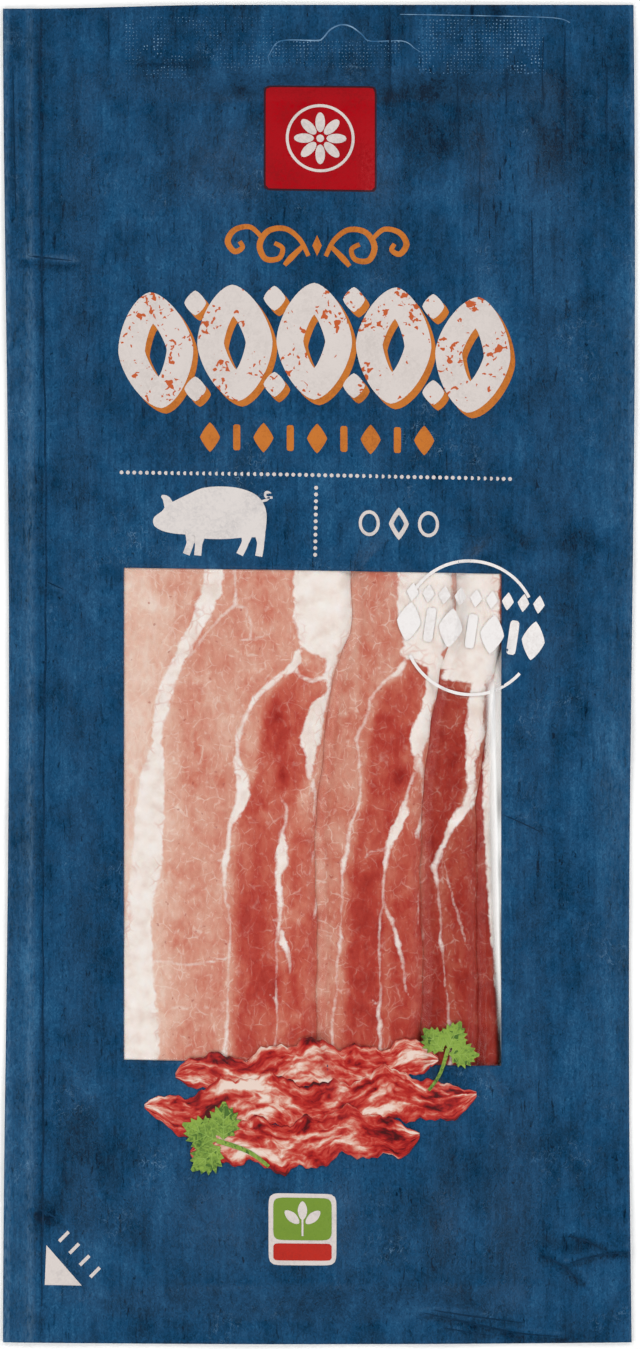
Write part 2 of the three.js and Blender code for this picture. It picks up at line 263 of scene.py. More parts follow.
# The seams of fat in slices 1 to 3, as (x, y, half-width) down each of them
SEAMS = [
    {"back fat": [(-21.7, 119, 2), (-21.7, 21.9, 2), (-22.3, 18.2, 2.1), (-23.8, 13.9, 1.8),
      (-26, 10.2, 1.5), (-29.7, 2.8, 1.4), (-31.2, -0.8, 1.4), (-32.1, -3.9, 1.7),
      (-33.7, -10.7, 1.2), (-34.1, -14.4, 1.1), (-35, -21.2, 2.6), (-35, -25.5, 3.1),
      (-35.6, -29.4, 3.2), (-36.1, -39.3, 3.1), (-37.1, -44.8, 3.1), (-37.8, -51, 2.8),
      (-38.2, -54.7, 3), (-38.2, -59.6, 3.3), (-37.4, -74.4, 3.9), (-37.4, -127, 3.9)],
     "middle seam": [(-4.4, 4.1, 0.86), (-5.1, 1.9, 1), (-7.2, 0.4, 0.62), (-12.4, -3.6, 0.55),
      (-14, -5.5, 0.68), (-14.8, -7.6, 0.43), (-16.9, -12.9, 0.55), (-17.2, -15.6, 0.43),
      (-17.1, -18.1, 0.8), (-16.2, -20.6, 1.2), (-16, -23.6, 1.5), (-16.2, -26.7, 1.3),
      (-17.1, -28.9, 1), (-18.5, -31.2, 0.55), (-19.2, -36.5, 0.55), (-19.8, -38.9, 0.86),
      (-19.7, -44.2, 0.25), (-18.8, -50.4, 0.18), (-18.6, -55.3, 0.18), (-18.9, -58.3, 0.43),
      (-19.1, -60.9, 0.18), (-19.1, -71.9, 0.25), (-19.8, -78.7, 0.62), (-19.9, -127, 0.37)],
     "middle spur": [(-21.3, -38.9, 0.12), (-19.8, -39, 0.55)],
     "edge seam": [(2.7, 5.3, 1.4), (2.7, 2.8, 1.2), (2, 0.1, 0.86), (2.2, -2.7, 0.62),
      (1.1, -5.2, 0.86), (-0.4, -7.6, 1.6), (-1.3, -10.7, 2.1), (-2.1, -13.8, 2.2),
      (-1.8, -16.6, 1), (-1.9, -19.3, 0.62), (-0.8, -26.1, 0.31), (-1, -27.7, 0.31),
      (-0.4, -30.1, 0.25), (0.9, -32.5, 0.12)],
     "thick end": [(0.7, 119, 6.2), (0.7, 21.9, 6.2), (0.9, 12.7, 6.2), (0.9, 8.8, 5.5)],
     "island rim": [(-5, 1.9, 0.49), (-3.8, -0.4, 0.31), (-1.3, -1.1, 0.37), (1.1, -0.4, 0.49),
      (2.7, 1.6, 0.49)],
     "lower seam": [(-8.1, -25.5, 0.06), (-6.6, -28.7, 0.31), (-7.3, -31.3, 0.31),
      (-7.7, -33.7, 0.49), (-7.8, -36.5, 1.2), (-7.8, -39.6, 1.3), (-8.4, -41.6, 0.8),
      (-8.1, -47.9, 0.62), (-8.9, -57.2, 0.18), (-8.8, -64.5, 0.18), (-9, -68.2, 0.37),
      (-8.7, -71.9, 0.12), (-9.2, -76.9, 0.18), (-9.6, -127, 0.18)],
     "lower fleck": [(-8.1, -53.5, 0.49), (-7.4, -55.8, 0.8), (-6.5, -58.4, 0.55),
      (-6, -62.4, 0.12)],
     "lower spur": [(-10, -51.2, 0.12), (-8.5, -51.2, 0.37)],
     "second spur": [(-10.4, -66.9, 0.06), (-9, -68.2, 0.25)],
     "cross seam": [(-34.7, -60.2, 0.25), (-28.4, -61, 0.25), (-19.7, -59.2, 0.31)],
     "upper strand": [(-17.5, 21.9, 0.31), (-17.6, 18.2, 0.25), (-17.3, 14.7, 0.37),
      (-20.1, 12.6, 0.25), (-22.9, 9.6, 0.18), (-28.1, 2.7, 0.12)],
     "knot": [(-17.2, 14.7, 0.31), (-15, 13.8, 0.25), (-14.3, 10.2, 0.12), (-14.6, 7.4, 0.37),
      (-16.7, 7, 0.12)],
     "knot branch": [(-14.6, 7.4, 0.31), (-9.3, 9.3, 0.06)],
     "edge fleck": [(-1.1, -37.2, 0.25), (-1.9, -41.9, 0.18)],
     "edge curl": [(-0.7, -47.1, 0.25), (-0.4, -48.8, 0.37), (-1.1, -51.6, 0.18), (-1, -53, 0.12)]},
    {"thick end": [(22.2, 119, 5.8), (22.2, 11.9, 5.8), (22.5, 8.4, 5.2)],
     "thick foot": [(18.6, 4.6, 1.4), (21.6, 3.6, 1.8), (24.4, 2.4, 2.2)],
     "middle seam": [(17.9, 2.5, 0.6), (16.9, 0.5, 0.6), (14.4, -0.6, 0.4), (12.4, -2.8, 0.3),
      (10.6, -5.5, 0.25), (9.9, -8.8, 0.25), (8, -13.3, 0.3), (8.8, -23.4, 0.25),
      (8.5, -26.9, 0.3), (6.6, -31.4, 0.35), (5.6, -37.4, 0.4), (5, -39.4, 0.66), (4.8, -42, 0.25),
      (4.6, -51.6, 0.15), (4.4, -56.1, 0.35), (3.7, -62.6, 0.15), (3.6, -67.7, 0.15),
      (3, -71.7, 0.3), (2.7, -127, 0.25)],
     "edge seam": [(24.5, 0.3, 2), (23, -5.3, 1.3), (22.2, -7.8, 1.3), (21.7, -10.8, 2),
      (21.1, -13.6, 1.9), (20.7, -18.5, 0.66), (19.7, -20.9, 0.35), (18.7, -24.4, 0.3),
      (17.8, -28, 0.71), (17.8, -28.6, 1.3), (15.5, -33.2, 1), (14.5, -35.9, 0.66),
      (14, -38.7, 0.5), (13.4, -48, 0.2), (12.7, -50.5, 0.15), (12.6, -52.7, 0.3),
      (13, -66.7, 0.15), (12.7, -69.7, 0.4), (12.8, -72.7, 0.4), (12.6, -127, 0.15)],
     "edge branch": [(21.1, -18.1, 0.6), (21.7, -21.9, 0.25), (21.9, -25.9, 0.2),
      (21.8, -29.1, 0.3), (20.6, -33.4, 0.55), (20.6, -35.2, 0.15)],
     "fork": [(13.5, -48, 0.2), (15.7, -53.1, 0.45), (16.6, -56.1, 0.55), (17.6, -61.6, 0.2),
      (17.7, -64.2, 0.25), (18.3, -66.4, 0.15), (19.7, -68.8, 0.05)],
     "side thread": [(14.3, -36.4, 0.2), (10.9, -37.5, 0.15), (9.5, -38.7, 0.05)],
     "spur": [(11.2, -67.7, 0.1), (12.6, -69.2, 0.25)],
     "border fleck": [(20.8, -45.8, 0.1), (20.7, -47.5, 0.3), (20.9, -55.6, 0.05)],
     "fleck": [(3.2, -67.6, 0.12), (2.9, -72.6, 0.25), (2.5, -75.3, 0.06)]},
    {"thick end": [(32.2, 119, 5.6), (32.2, 6, 5.6), (33, 3.4, 4.8)],
     "thick foot": [(26.6, -0.5, 1.1), (30.5, -0.7, 1.3), (34.6, -0.8, 1.3)],
     "lobules": [(26.8, 6.4, 1.5), (26.2, 3, 2), (29.4, 2.2, 2.2), (33, 1.4, 2)],
     "edge seam": [(33.6, -2.8, 1.6), (32.7, -8.8, 1.7), (32.6, -11.8, 2), (31.7, -17.9, 1.1),
      (31.9, -22.9, 0.91), (31.5, -26.6, 1.3), (28.3, -30.6, 0.81), (27.1, -32.9, 0.6),
      (24.4, -39.9, 0.55), (24.9, -46.5, 0.15), (25.5, -50, 0.15), (25.7, -53.6, 0.15),
      (25.5, -56.2, 0.4), (25.9, -59.6, 0.1), (27.2, -71.7, 0.2), (27.5, -77.3, 0.4),
      (27.9, -127, 0.25)],
     "edge branch": [(32.6, -22.4, 0.4), (33.2, -25.9, 0.25), (33.2, -35.4, 0.1)],
     "fork": [(26.2, -39.6, 0.1), (28, -47.5, 0.25), (29.8, -52.6, 0.2), (31, -57.7, 0.25),
      (31.4, -60.2, 0.05)],
     "outer thread": [(30.7, -40.5, 0.1), (34.4, -48.8, 0.2), (35.2, -51.3, 0.05)],
     "fleck": [(31.4, -65.4, 0.25), (31.8, -71.5, 0.1)],
     "spur": [(23.7, -39.8, 0.1), (24.5, -39.9, 0.3)]}]
# Slice 4 shows little but the fat of its right edge, whose left border is given as (y, x)
OUTER_FAT = [(-127, 40), (-72, 37.6), (-62, 36.8), (-57, 36.1), (-52, 35.7), (-42, 35), (-26, 34.4),
             (-12, 34.6), (2, 36), (119, 36)]
# The red muscle of each slice, as (y, left border, right border)
RED_MUSCLE = [
    [(-80, -19.8, -9), (-50, -18.8, -8.3), (-38, -19.5, -8), (-30, -18, -7), (-20, -14.5, -2),
     (-10, -13.5, -2), (-5, -12, 1), (0, -8, 2), (5, -5, 3)],
    [(-80, 3, 12.8), (-60, 4.2, 13), (-40, 5, 13.8), (-33, 6.5, 15.5), (-25, 8.6, 18),
     (-15, 8.5, 20), (-9, 10, 20.5), (-3, 12, 22.5), (2, 18, 25)],
    [(-80, 19, 27.5), (-50, 20, 25.3), (-40, 20, 24.6), (-30, 20, 28), (-20, 20, 31), (0, 22, 31)],
    [(-80, 30, 42), (0, 30, 42)]]
# The deepest red spots: slice, middle, reach and strength
RED_SPOTS = [(0, (-8.4, -8.7), (4, 4.5), 0.14), (0, (-7.7, -21), (3, 5), 0.14),
             (0, (-8.4, -8.7), (1.1, 0.9), 0.2), (0, (-7.7, -21), (0.9, 1.3), 0.2),
             (0, (-15, -48), (3.5, 6), 0.16), (0, (-12.4, -62), (3, 8), 0.14),
             (0, (-11.5, 12), (6, 9), 0.06), (0, (-26, -22), (4, 4), 0.12),
             (0, (-28, -56), (4, 4), 0.08), (1, (16.7, -21.4), (2.2, 2.2), 0.28),
             (1, (14, -9), (3, 1.2), 0.14), (1, (9, -52), (3, 8), 0.14),
             (1, (10.5, -64), (3, 5), 0.08), (2, (28, -20), (2, 6), 0.08)]
SLICE_REDNESS, SLICE_BROWNING = (0.015, 0.085, 0.125, 0.15), (0.0, 0.12, 0.56, 0.66)
PALE_LEAN, MUSCLE_RED, EDGE_RED, BACK_PALENESS, LOW_END_RED = 0.37, 0.28, 0.27, 0.27, 0.05
BROAD_SEAM = 0.8


def slice_edges(index, y):
    """Left and right edge of a slice at each place along the pack."""
    right = np.interp(y, *zip(*RIGHT_EDGE))
    wander = 0.15 * np.sin(y / 4.7 + index * 2.0) + 0.1 * np.sin(y / 1.7 + index * 4.0)
    calm = 1 - 0.8 * rise(np.abs(y + 30), 60, 80)
    return SLICE_LEFT + SLICE_SHIFTS[index] + 0 * y, right + SLICE_SHIFTS[index] + wander * calm


def slice_ends(index):
    spare = (len(SLICE_SHIFTS) - 1 - index) * SLICE_END_STEP
    return SLICE_BOTTOM_END + spare, SLICE_TOP_END - spare


def lifted_by(index, x, sag=SAG_LENGTH):
    """How far the layers above are lifted by a slice: 0 well left of it, 1 over it."""
    left = SLICE_LEFT + SLICE_SHIFTS[index]
    return rise(x, left - sag, left)


def pile_height(y):
    """The share of the pile's full height: the pressed ends of the slices are thinner."""
    top = rise(y, SLICE_TOP_END - END_TAPER, SLICE_TOP_END)
    return 1 - END_THINNING * (top + rise(-y, -SLICE_BOTTOM_END - END_TAPER, -SLICE_BOTTOM_END))


def slice_underside(index, x, y):
    layers = sum((lifted_by(under, x) for under in range(index + 1, len(SLICE_SHIFTS))), 0 * x)
    return SLICE_BASE + SLICE_PITCH * layers * pile_height(y)


def along_line(x, y, path):
    """For each stretch of a line, how far along it each place lies, from 0 to 1, how far from it
    in mm, and on which side."""
    for (x0, y0, *_), (x1, y1, *_) in zip(path, path[1:]):
        dx, dy = x1 - x0, y1 - y0
        t = np.clip(((x - x0) * dx + (y - y0) * dy) / (dx * dx + dy * dy), 0, 1)
        yield t, np.hypot(x - x0 - t * dx, y - y0 - t * dy), np.sign(dx * (y - y0) - dy * (x - x0))


def fat_depth(index, x, y):
    """How deep each place of a slice lies in fat, in mm, and how broad that fat is, from 0 to 1."""
    px = x + 0.18 * ripple(x, y, 9, 30 + index) + 0.16 * ripple(x, y, 3.2, 50 + index)
    py = y + 0.4 * ripple(x, y, 12, 40 + index)
    if index == len(SEAMS):
        return px - np.interp(y, *zip(*OUTER_FAT)), 1 + 0 * x
    depth, breadth = np.full_like(x, -99.0), np.zeros_like(x)
    for path in SEAMS[index].values():
        for start, end, (t, away, _) in zip(path, path[1:], along_line(px, py, path)):
            half = start[2] + t * (end[2] - start[2])
            breadth = np.where(half - away > depth, half, breadth)
            depth = np.maximum(depth, half - away)
    return depth, np.clip(breadth / BROAD_SEAM, 0, 1)


def bell(value, middle, width):
    """1 at the middle, falling smoothly to 0 at about twice the width from it."""
    return np.exp(-((value - middle) / width) ** 2)


def hump(x, y, centre, reach):
    """1 at a place of the pack, falling to 0 round it."""
    return bell(x, centre[0], reach[0]) * bell(y, centre[1], reach[1])


def lean_depth(index, x, y):
    """How deep the red of the lean is, from 0, pale pink, to 1, dark red."""
    height, left, right = zip(*RED_MUSCLE[index])
    left, right = np.interp(y, height, left), np.interp(y, height, right)
    muscle = rise(x, left + 0.3, left + 3) * (1 - rise(x, right - 1, right + 2))
    depth = PALE_LEAN + MUSCLE_RED * muscle * rise(-y, -6, 6)
    depth = depth + EDGE_RED * rise(x, right, right + 3) * rise(-y, 20, 40)
    depth = depth - BACK_PALENESS * rise(SLICE_SHIFTS[index] - x, 27, 37)
    for place, middle, reach, strength in RED_SPOTS:
        depth = depth + (place == index) * strength * hump(x, y, middle, reach)
    return depth + SLICE_REDNESS[index] + LOW_END_RED * rise(-y, 40, 80)


def browning(index, x, y):
    """How far the lean has dulled from red to brick, deeper in the pile and towards the bottom."""
    return SLICE_BROWNING[index] + 0.12 * rise(-y, 20, 80) * rise(x, 0, 25)


def mottle(add, where, size, detail=3.0, stretch=(1, 1, 1), distortion=0.0):
    """A mottle whose spots are about size mm across, drawn out by stretch."""
    spread = add("ShaderNodeMapping", where, Scale=[1000 / (size * s) for s in stretch])
    return add("ShaderNodeTexNoise", spread, 1.0, detail, Distortion=distortion)


def weigh(add, total, *layers):
    """Adds layers to a value, each given as what it is, its middle and its weight."""
    for layer, middle, weight in layers:
        centred = add("ShaderNodeMath", layer, middle, operation="SUBTRACT")
        total = add("ShaderNodeMath", centred, weight, total, operation="MULTIPLY_ADD")
    return total


# Cured, smoked belly, wet under film: lean from pale pink to dark red, with fine pale threads of
# fat between its bundles, and opaque cream fat whose borders are ragged
belly, add, where = new_material("cured_smoked_pork_belly")
fat, broad, lean, dull = (
    add("ShaderNodeAttribute", attribute_name=name, out="Fac")
    for name in ("fat_depth", "fat_breadth", "lean_depth", "browning"))
spots = partial(mottle, add, where)

# Bundles of muscle 2 to 5 mm across, and fibres that run along the slice
depth = weigh(add, lean, (spots(5.5, 4.0, (1, 1.4, 1), 0.6), 0.5, 0.6),
              (spots(1.7, 3.0, (1, 1.6, 1), 0.8), 0.5, 0.32),
              (spots(0.7, 2.0, (1, 8, 1)), 0.5, 0.11))
flesh = add("ShaderNodeValToRGB", depth, stops=[
    (0.0, "#EED8CA"), (0.2, "#E5BBA8"), (0.38, "#DA9D88"), (0.52, "#D07E69"), (0.66, "#C5614F"),
    (0.8, "#B84438"), (1.0, "#9C2A24")])
# Deeper in the pile it has dulled
brick = add("ShaderNodeMix", 1.0, flesh, paint("#CDB5AF"), data_type="RGBA",
            blend_type="MULTIPLY")
flesh = add("ShaderNodeMix", dull, flesh, brick, data_type="RGBA")

# Threads of fat finer than the seams: borders of cells 4.2 and 1.9 mm wide, which wind every
# 4 mm, broken up by a coarser mottle
bent = add("ShaderNodeTexNoise", where, 260.0, 2.0, out="Color")
offset = add("ShaderNodeVectorMath", bent, (0.0032, 0.0032, 0.0), operation="MULTIPLY")
bent = add("ShaderNodeVectorMath", where, offset, operation="ADD")
threads = 0.0
for size, width, strength, drawn in ((4.2, 0.036, 0.85, 1.0), (1.9, 0.06, 0.6, 0.5)):
    along = add("ShaderNodeVectorMath", bent, (1, drawn, 1), operation="MULTIPLY")
    cells = add("ShaderNodeTexVoronoi", along, 1000 / size, feature="DISTANCE_TO_EDGE")
    line = add("ShaderNodeMapRange", cells, width, 0.0)
    here = add("ShaderNodeMapRange", spots(size * 0.55, 2.0), 0.46, 0.61, 0.0, strength)
    line = add("ShaderNodeMath", line, here, operation="MULTIPLY")
    threads = add("ShaderNodeMath", threads, line, operation="MAXIMUM")
# They show most in pale lean, and specks of darker red lie over all
paler = add("ShaderNodeMapRange", depth, 0.85, 0.25, 0.1, 0.9)
threads = add("ShaderNodeMath", threads, paler, operation="MULTIPLY")
flesh = add("ShaderNodeMix", threads, flesh, paint("#F1DCCF"), data_type="RGBA")
specks = add("ShaderNodeMapRange", spots(1.3, 1.0), 0.73, 0.78, 0.0, 0.5)
flesh = add("ShaderNodeMix", specks, flesh, paint("#A53730"), data_type="RGBA")

# The fat. Near its borders it is in lobules of 2.4 mm, with pink between them. Thin seams are
# whole and soft, and broad ones frayed.
cream = add("ShaderNodeValToRGB", spots(3.2, 3.0), stops=[
    (0.3, "#EAD9CF"), (0.5, "#F4E9E1"), (0.72, "#F8F1EC")])
lobules = add("ShaderNodeTexVoronoi", bent, 420.0, feature="DISTANCE_TO_EDGE")
between = add("ShaderNodeMapRange", lobules, 0.11, 0.0)
for where_shown in (add("ShaderNodeMapRange", spots(6.0, 2.0), 0.47, 0.6),
                    add("ShaderNodeMapRange", fat, 2.6, 0.8, 0.0, 0.55)):
    between = add("ShaderNodeMath", between, where_shown, operation="MULTIPLY")
cream = add("ShaderNodeMix", between, cream, paint("#D79A87"), data_type="RGBA")
fraying = add("ShaderNodeMapRange", broad, 0.0, 1.0, 0.45, 1.5)
ragged = weigh(add, fat, (spots(2.0, 4.0, distortion=0.8), 0.5, fraying),
               (spots(0.6, 2.0), 0.5, 0.3))
white = add("ShaderNodeMath", add("ShaderNodeMapRange", ragged, -0.15, 0.34),
            add("ShaderNodeMapRange", broad, 0.0, 1.0, 0.6, 1.0), operation="MULTIPLY")
colour = add("ShaderNodeMix", white, flesh, cream, data_type="RGBA")

relief = weigh(add, spots(1.1, 3.0, (1, 2.5, 1)),
               (add("ShaderNodeMapRange", ragged, -0.4, 0.6), 0.0, 0.7))
bump = add("ShaderNodeBump", Height=relief, Strength=0.35, Distance=0.00025)
add("ShaderNodeOutputMaterial", add(
    "ShaderNodeBsdfPrincipled", Base_Color=colour, IOR=1.4, Specular_IOR_Level=0.35,
    Roughness=add("ShaderNodeMapRange", spots(2.2), 0.1, 1.6), Subsurface_Weight=0.12,
    Subsurface_Scale=0.0008, Subsurface_Radius=(1.0, 0.35, 0.2), Normal=bump))


def keep_values(piece, **values):
    """Keeps numbers at the points of a piece, for its material to read."""
    for name, numbers in values.items():
        piece.data.attributes.new(name, "FLOAT", "POINT").data.foreach_set("value", numbers)


def make_slice(index):
    bottom_end, top_end = slice_ends(index)
    # Columns are shares of the width, fine where the slice shows and coarse where it is covered
    width = slice_edges(index, np.array(0.0))[1] - SLICE_LEFT - SLICE_SHIFTS[index]
    edge = EDGE_SLOPE / width
    columns = stations(0.0, (edge / 3, 1), (edge, 1))
    if index:
        shown = SLICE_SHIFTS[index] - SLICE_SHIFTS[index - 1] + SHOWN_MARGIN
        columns = stations(0.0, (edge / 3, 1), (edge, 1), (1 - shown / width, COVERED_COLUMNS))
    shown_steps = int((1 - edge - columns[-1]) * width / SHOWN_COLUMN_STEP)
    columns = np.concatenate([columns, np.linspace(columns[-1], 1 - edge, shown_steps + 1)[1:],
                              [1 - edge / 2, 1 - edge / 5, 1.0]])
    corner = SLICE_CORNER_RADIUS * (1 - np.cos(np.linspace(0, np.pi / 2, CORNER_ROWS)))
    rows = np.concatenate([
        bottom_end + corner,
        stations(bottom_end + SLICE_CORNER_RADIUS, (WINDOW_BOTTOM - 3, 12),
                 (WINDOW_TOP + 3, SHOWN_ROWS), (top_end - SLICE_CORNER_RADIUS, 28))[1:-1],
        (top_end - corner)[::-1]])

    def sides(y):
        """Left and right border, pulled in by the round corners."""
        left, right = slice_edges(index, y)
        to_end = np.clip(np.minimum(y - bottom_end, top_end - y), 0, SLICE_CORNER_RADIUS)
        inset = SLICE_CORNER_RADIUS - np.sqrt(
            SLICE_CORNER_RADIUS ** 2 - (SLICE_CORNER_RADIUS - to_end) ** 2)
        return left + inset, right - inset

    def place(u, y):
        left, right = sides(y)
        return left + (right - left) * u, y

    def topside(x, y):
        left, right = sides(y)
        to_edge = np.minimum(np.minimum(x - left, right - x),
                             np.minimum(y - bottom_end, top_end - y))
        flat = np.clip(to_edge / EDGE_SLOPE, 0, 1)
        fat = np.clip(fat_depth(index, x, y)[0], -1.0, 1.0)
        full = SLICE_THICKNESS - EDGE_THINNING * (1 - flat) ** 2 - LEAN_HOLLOW * (1 - fat) * flat
        return slice_underside(index, x, y) + full * pile_height(y)

    piece, x, y = slab(f"bacon_{index + 1}", columns, rows, place,
                       partial(slice_underside, index), topside)
    fat, breadth = fat_depth(index, x, y)
    keep_values(piece, fat_depth=fat, fat_breadth=breadth, lean_depth=lean_depth(index, x, y),
                browning=browning(index, x, y))
    finish_piece(piece, belly, "bacon", f"bacon_slice_{index + 1}")


for number in range(len(SLICE_SHIFTS)):
    make_slice(number)


# The printed web
# Polyester and polyethylene laminate, printed blue on its inner face and drawn down on to the
# slices by the vacuum. It is heat sealed flat round the rim, where handling has rubbed it pale.
UPPER_WEB_THICKNESS, WEB_OVER_SLICES = 0.1, 0.2
WINDOW_STEP_DRAPE, PRINTED_STEP_DRAPE, DRAPE_CHANGE = 2.0, 11.0, 9.0
OUTER_DRAPE, OUTER_REACH, STEP_REACH = 11.0, 0.4, 0.15
END_REACH, END_DRAPE = 0.6, 8.5
LEFT_SEAL_LINE, TOP_SEAL_LINE = -59.0, 126.1
SEAL_WAVE, SEAL_WAVE_LENGTH = 0.3, 23
SEAL_DEPTH, SEAL_GROOVE_WIDTH, SEAL_RIDGE_WIDTH, SEAL_RIDGE_OFFSET = 0.16, 0.6, 0.7, 1.5
TOP_SEAL_DEPTH, TOP_SEAL_WIDTH = 0.08, 0.7
SLACK_WAVE, ROLLING_WAVE, CREASE_HEIGHT = 0.10, 0.06, 0.16
# Patches of painted shade in the ink, where the film comes down off the ends and sides of the
# pile and beside creases: middle and reach, in mm
PAINTED_SHADE_PATCHES = [((-17.5, 121.5), (5.0, 1.8)), ((17.5, 121.0), (6.5, 2.2)), ((27.0, 112.0), (9.0, 6.0)),
           ((56.0, -120.5), (8.0, 2.2)), ((50.0, 28.0), (9.0, 3.0)), ((-28.0, 128.5), (4.0, 1.6)),
           ((-48.0, -98.0), (4.0, 7.0)), ((-57.0, -113.0), (3.0, 3.0))]
# Creases pressed into the film: the width of each, in mm, and its line
CREASES = [
    (1.3, [(47.9, -121.9), (51.5, -124.0), (55.4, -127.2)]),
    (1.1, [(52.7, -117.5), (56.9, -118.5), (60.3, -120.4)]),
    (1.2, [(53.1, -123.4), (58.4, -121.9), (65.3, -120.9)]),
    (1.2, [(22.0, -134.0), (31.7, -136.2), (41.2, -138.3), (50.6, -139.2)]),
    (0.9, [(24.0, -133.4), (31.7, -134.7), (42.6, -136.2)]), (0.8, [(26.0, -137.2), (36.0, -138.9)]),
    (1.3, [(-61.5, 86.9), (-58.6, 86.6), (-52.0, 86.0)]), (1.1, [(-60, -112.5), (-54, -115.4)]),
    (0.7, [(47.2, 133.9), (46.9, 126.0), (47.2, 119.4)]), (0.7, [(39.4, 127.4), (39.2, 118.0)]),
    (0.8, [(51.8, 136.0), (51.6, 126.0), (51.9, 113.2)]),
    (0.8, [(14.8, 140.2), (15.0, 130.0), (14.8, 120.4)]), (0.6, [(29.0, 127.0), (29.3, 110.0)]),
    (0.7, [(60.6, 128.0), (60.4, 112.0)]), (0.7, [(-38.0, 128.4), (-27.0, 127.9)]),
    (0.7, [(-44.2, 140), (-44.1, 130)]), (0.7, [(33.8, 112), (33.4, 92)]),
    (0.7, [(44.6, 96), (44.9, 80)]), (0.9, [(-57.8, 18.4), (-54.4, 17.0)]),
    (0.8, [(38.9, -28.9), (43.0, -30.6), (47.0, -32.4)]), (0.8, [(-64.3, 128), (-64.0, 96)])]


def near_window(x, y):
    """1 over the clear window, falling to 0 some way out from it."""
    out_x = np.maximum(WINDOW_LEFT - x, x - WINDOW_RIGHT)
    out_y = np.maximum(WINDOW_BOTTOM - y, y - WINDOW_TOP)
    return 1 - rise(np.maximum(out_x, out_y), 0, DRAPE_CHANGE)


def crease_marks(x, y):
    """The height of the creases, and their shade: below 0 in the fold and above 0 on its back."""
    height, shade = np.zeros_like(x), np.zeros_like(x)
    for width, path in CREASES:
        nearest, side = np.full_like(x, np.inf), np.zeros_like(x)
        for _, away, hand in along_line(x, y, path):
            side = np.where(away < nearest, hand, side)
            nearest = np.minimum(nearest, away)
        across = nearest * side / width
        height += CREASE_HEIGHT * width * np.exp(-2 * across ** 2)
        shade += min(1, width - 0.3) * (0.6 * bell(across, 0.8, 0.6) - bell(across, -0.5, 0.6))
    return height, shade


def web_cover(x, y):
    """How many slices the upper web lies over, smoothed where it comes down from their edges,
    and the cover by any one of them."""
    bottom_end, top_end = slice_ends(len(SLICE_SHIFTS) - 1)
    inside = (1 - rise(y, top_end + END_REACH, top_end + END_REACH + END_DRAPE)) * rise(
        y, bottom_end - END_REACH - END_DRAPE, bottom_end - END_REACH)
    drape = PRINTED_STEP_DRAPE + (WINDOW_STEP_DRAPE - PRINTED_STEP_DRAPE) * near_window(x, y)
    covers = []
    for index in range(len(SLICE_SHIFTS)):
        last = index == len(SLICE_SHIFTS) - 1
        start = slice_edges(index, y)[1] + (OUTER_REACH if last else STEP_REACH)
        end = start + (OUTER_DRAPE if last else drape)
        sag = SAG_LENGTH if index else OUTER_DRAPE
        covers.append(lifted_by(index, x, sag) * (1 - rise(x, start, end)) * inside)
    return sum(covers), np.max(covers, axis=0)


def web_underside(x, y):
    """Height of the underside of the upper web."""
    layers, most = web_cover(x, y)
    printed = 1 - near_window(x, y)
    rolling = ROLLING_WAVE * (1 + ripple(x, y, 21, 12) * printed)
    seal = LEFT_SEAL_LINE + SEAL_WAVE * np.sin(y / SEAL_WAVE_LENGTH)
    groove = SEAL_DEPTH * (bell(x, seal - SEAL_RIDGE_OFFSET, SEAL_RIDGE_WIDTH)
                           - bell(x, seal, SEAL_GROOVE_WIDTH))
    groove -= TOP_SEAL_DEPTH * bell(y, TOP_SEAL_LINE, TOP_SEAL_WIDTH)
    height = LOWER_WEB_THICKNESS + WEB_OVER_SLICES * most
    height = height + SLICE_PITCH * layers * pile_height(y)
    height = height + SLACK_WAVE * most * ripple(x, y, 30, 11) * printed + rim_lift(x, y)
    height = height + rolling
    return height + np.maximum(groove, -0.02 - rolling) + crease_marks(x, y)[0]


def web_top(x, y):
    return web_underside(x, y) + UPPER_WEB_THICKNESS


# Blue gravure ink seen through glossy film: streaked along the pack like stained wood, darker in
# blotches of 7 mm that also shape its bump, rubbed pale on the seals and edges, with painted
# highlight and shade on the folds and painted shade round the pile
printed_laminate, add, where = new_material("gravure_printed_polyester_laminate")
rubbed = add("ShaderNodeAttribute", attribute_name="rubbed", out="Fac")
spots = partial(mottle, add, where)
blotches = spots(7, 5.0, (1, 1.5, 1), 0.5)
streaks = spots(0.7, 3.0, (1, 12, 1), 0.4)
grain = spots(0.62, 3.0, (1, 1.5, 1), 1.6)
dashes = add("ShaderNodeMapRange", spots(0.75, 2.0, (1, 7, 1), 0.5), 0.62, 0.74)
dashes = add("ShaderNodeMath", dashes, add("ShaderNodeMapRange", spots(14, 2.0), 0.4, 0.6),
             operation="MULTIPLY")
nicks = add("ShaderNodeMapRange", spots(0.8, 1.0, (1, 2.2, 1), 0.8), 0.70, 0.78)
# Below 0 the kept value darkens the blue: painted shade in the folds, the seal's groove and round
# the pile, and a darker tone towards the ends and beside the window
darkening_and_painted_shade = add("ShaderNodeMapRange", rubbed, 0.0, -1.0)
shade = weigh(add, 0.5, (spots(24, 5.0, (1, 1.3, 1), 0.6), 0.5, 0.58), (blotches, 0.5, 0.7),
              (spots(2.6, 3.0, (1, 16, 1)), 0.5, 0.3), (streaks, 0.5, 0.36), (grain, 0.5, 0.8),
              (dashes, 0.0, -0.34), (nicks, 0.0, -0.3), (darkening_and_painted_shade, 0.0, -0.42))
blue = add("ShaderNodeValToRGB", shade, stops=[
    (0.08, "#021B30"), (0.3, "#0A334F"), (0.5, "#144164"), (0.66, "#1C4D72"), (0.9, "#316489")])
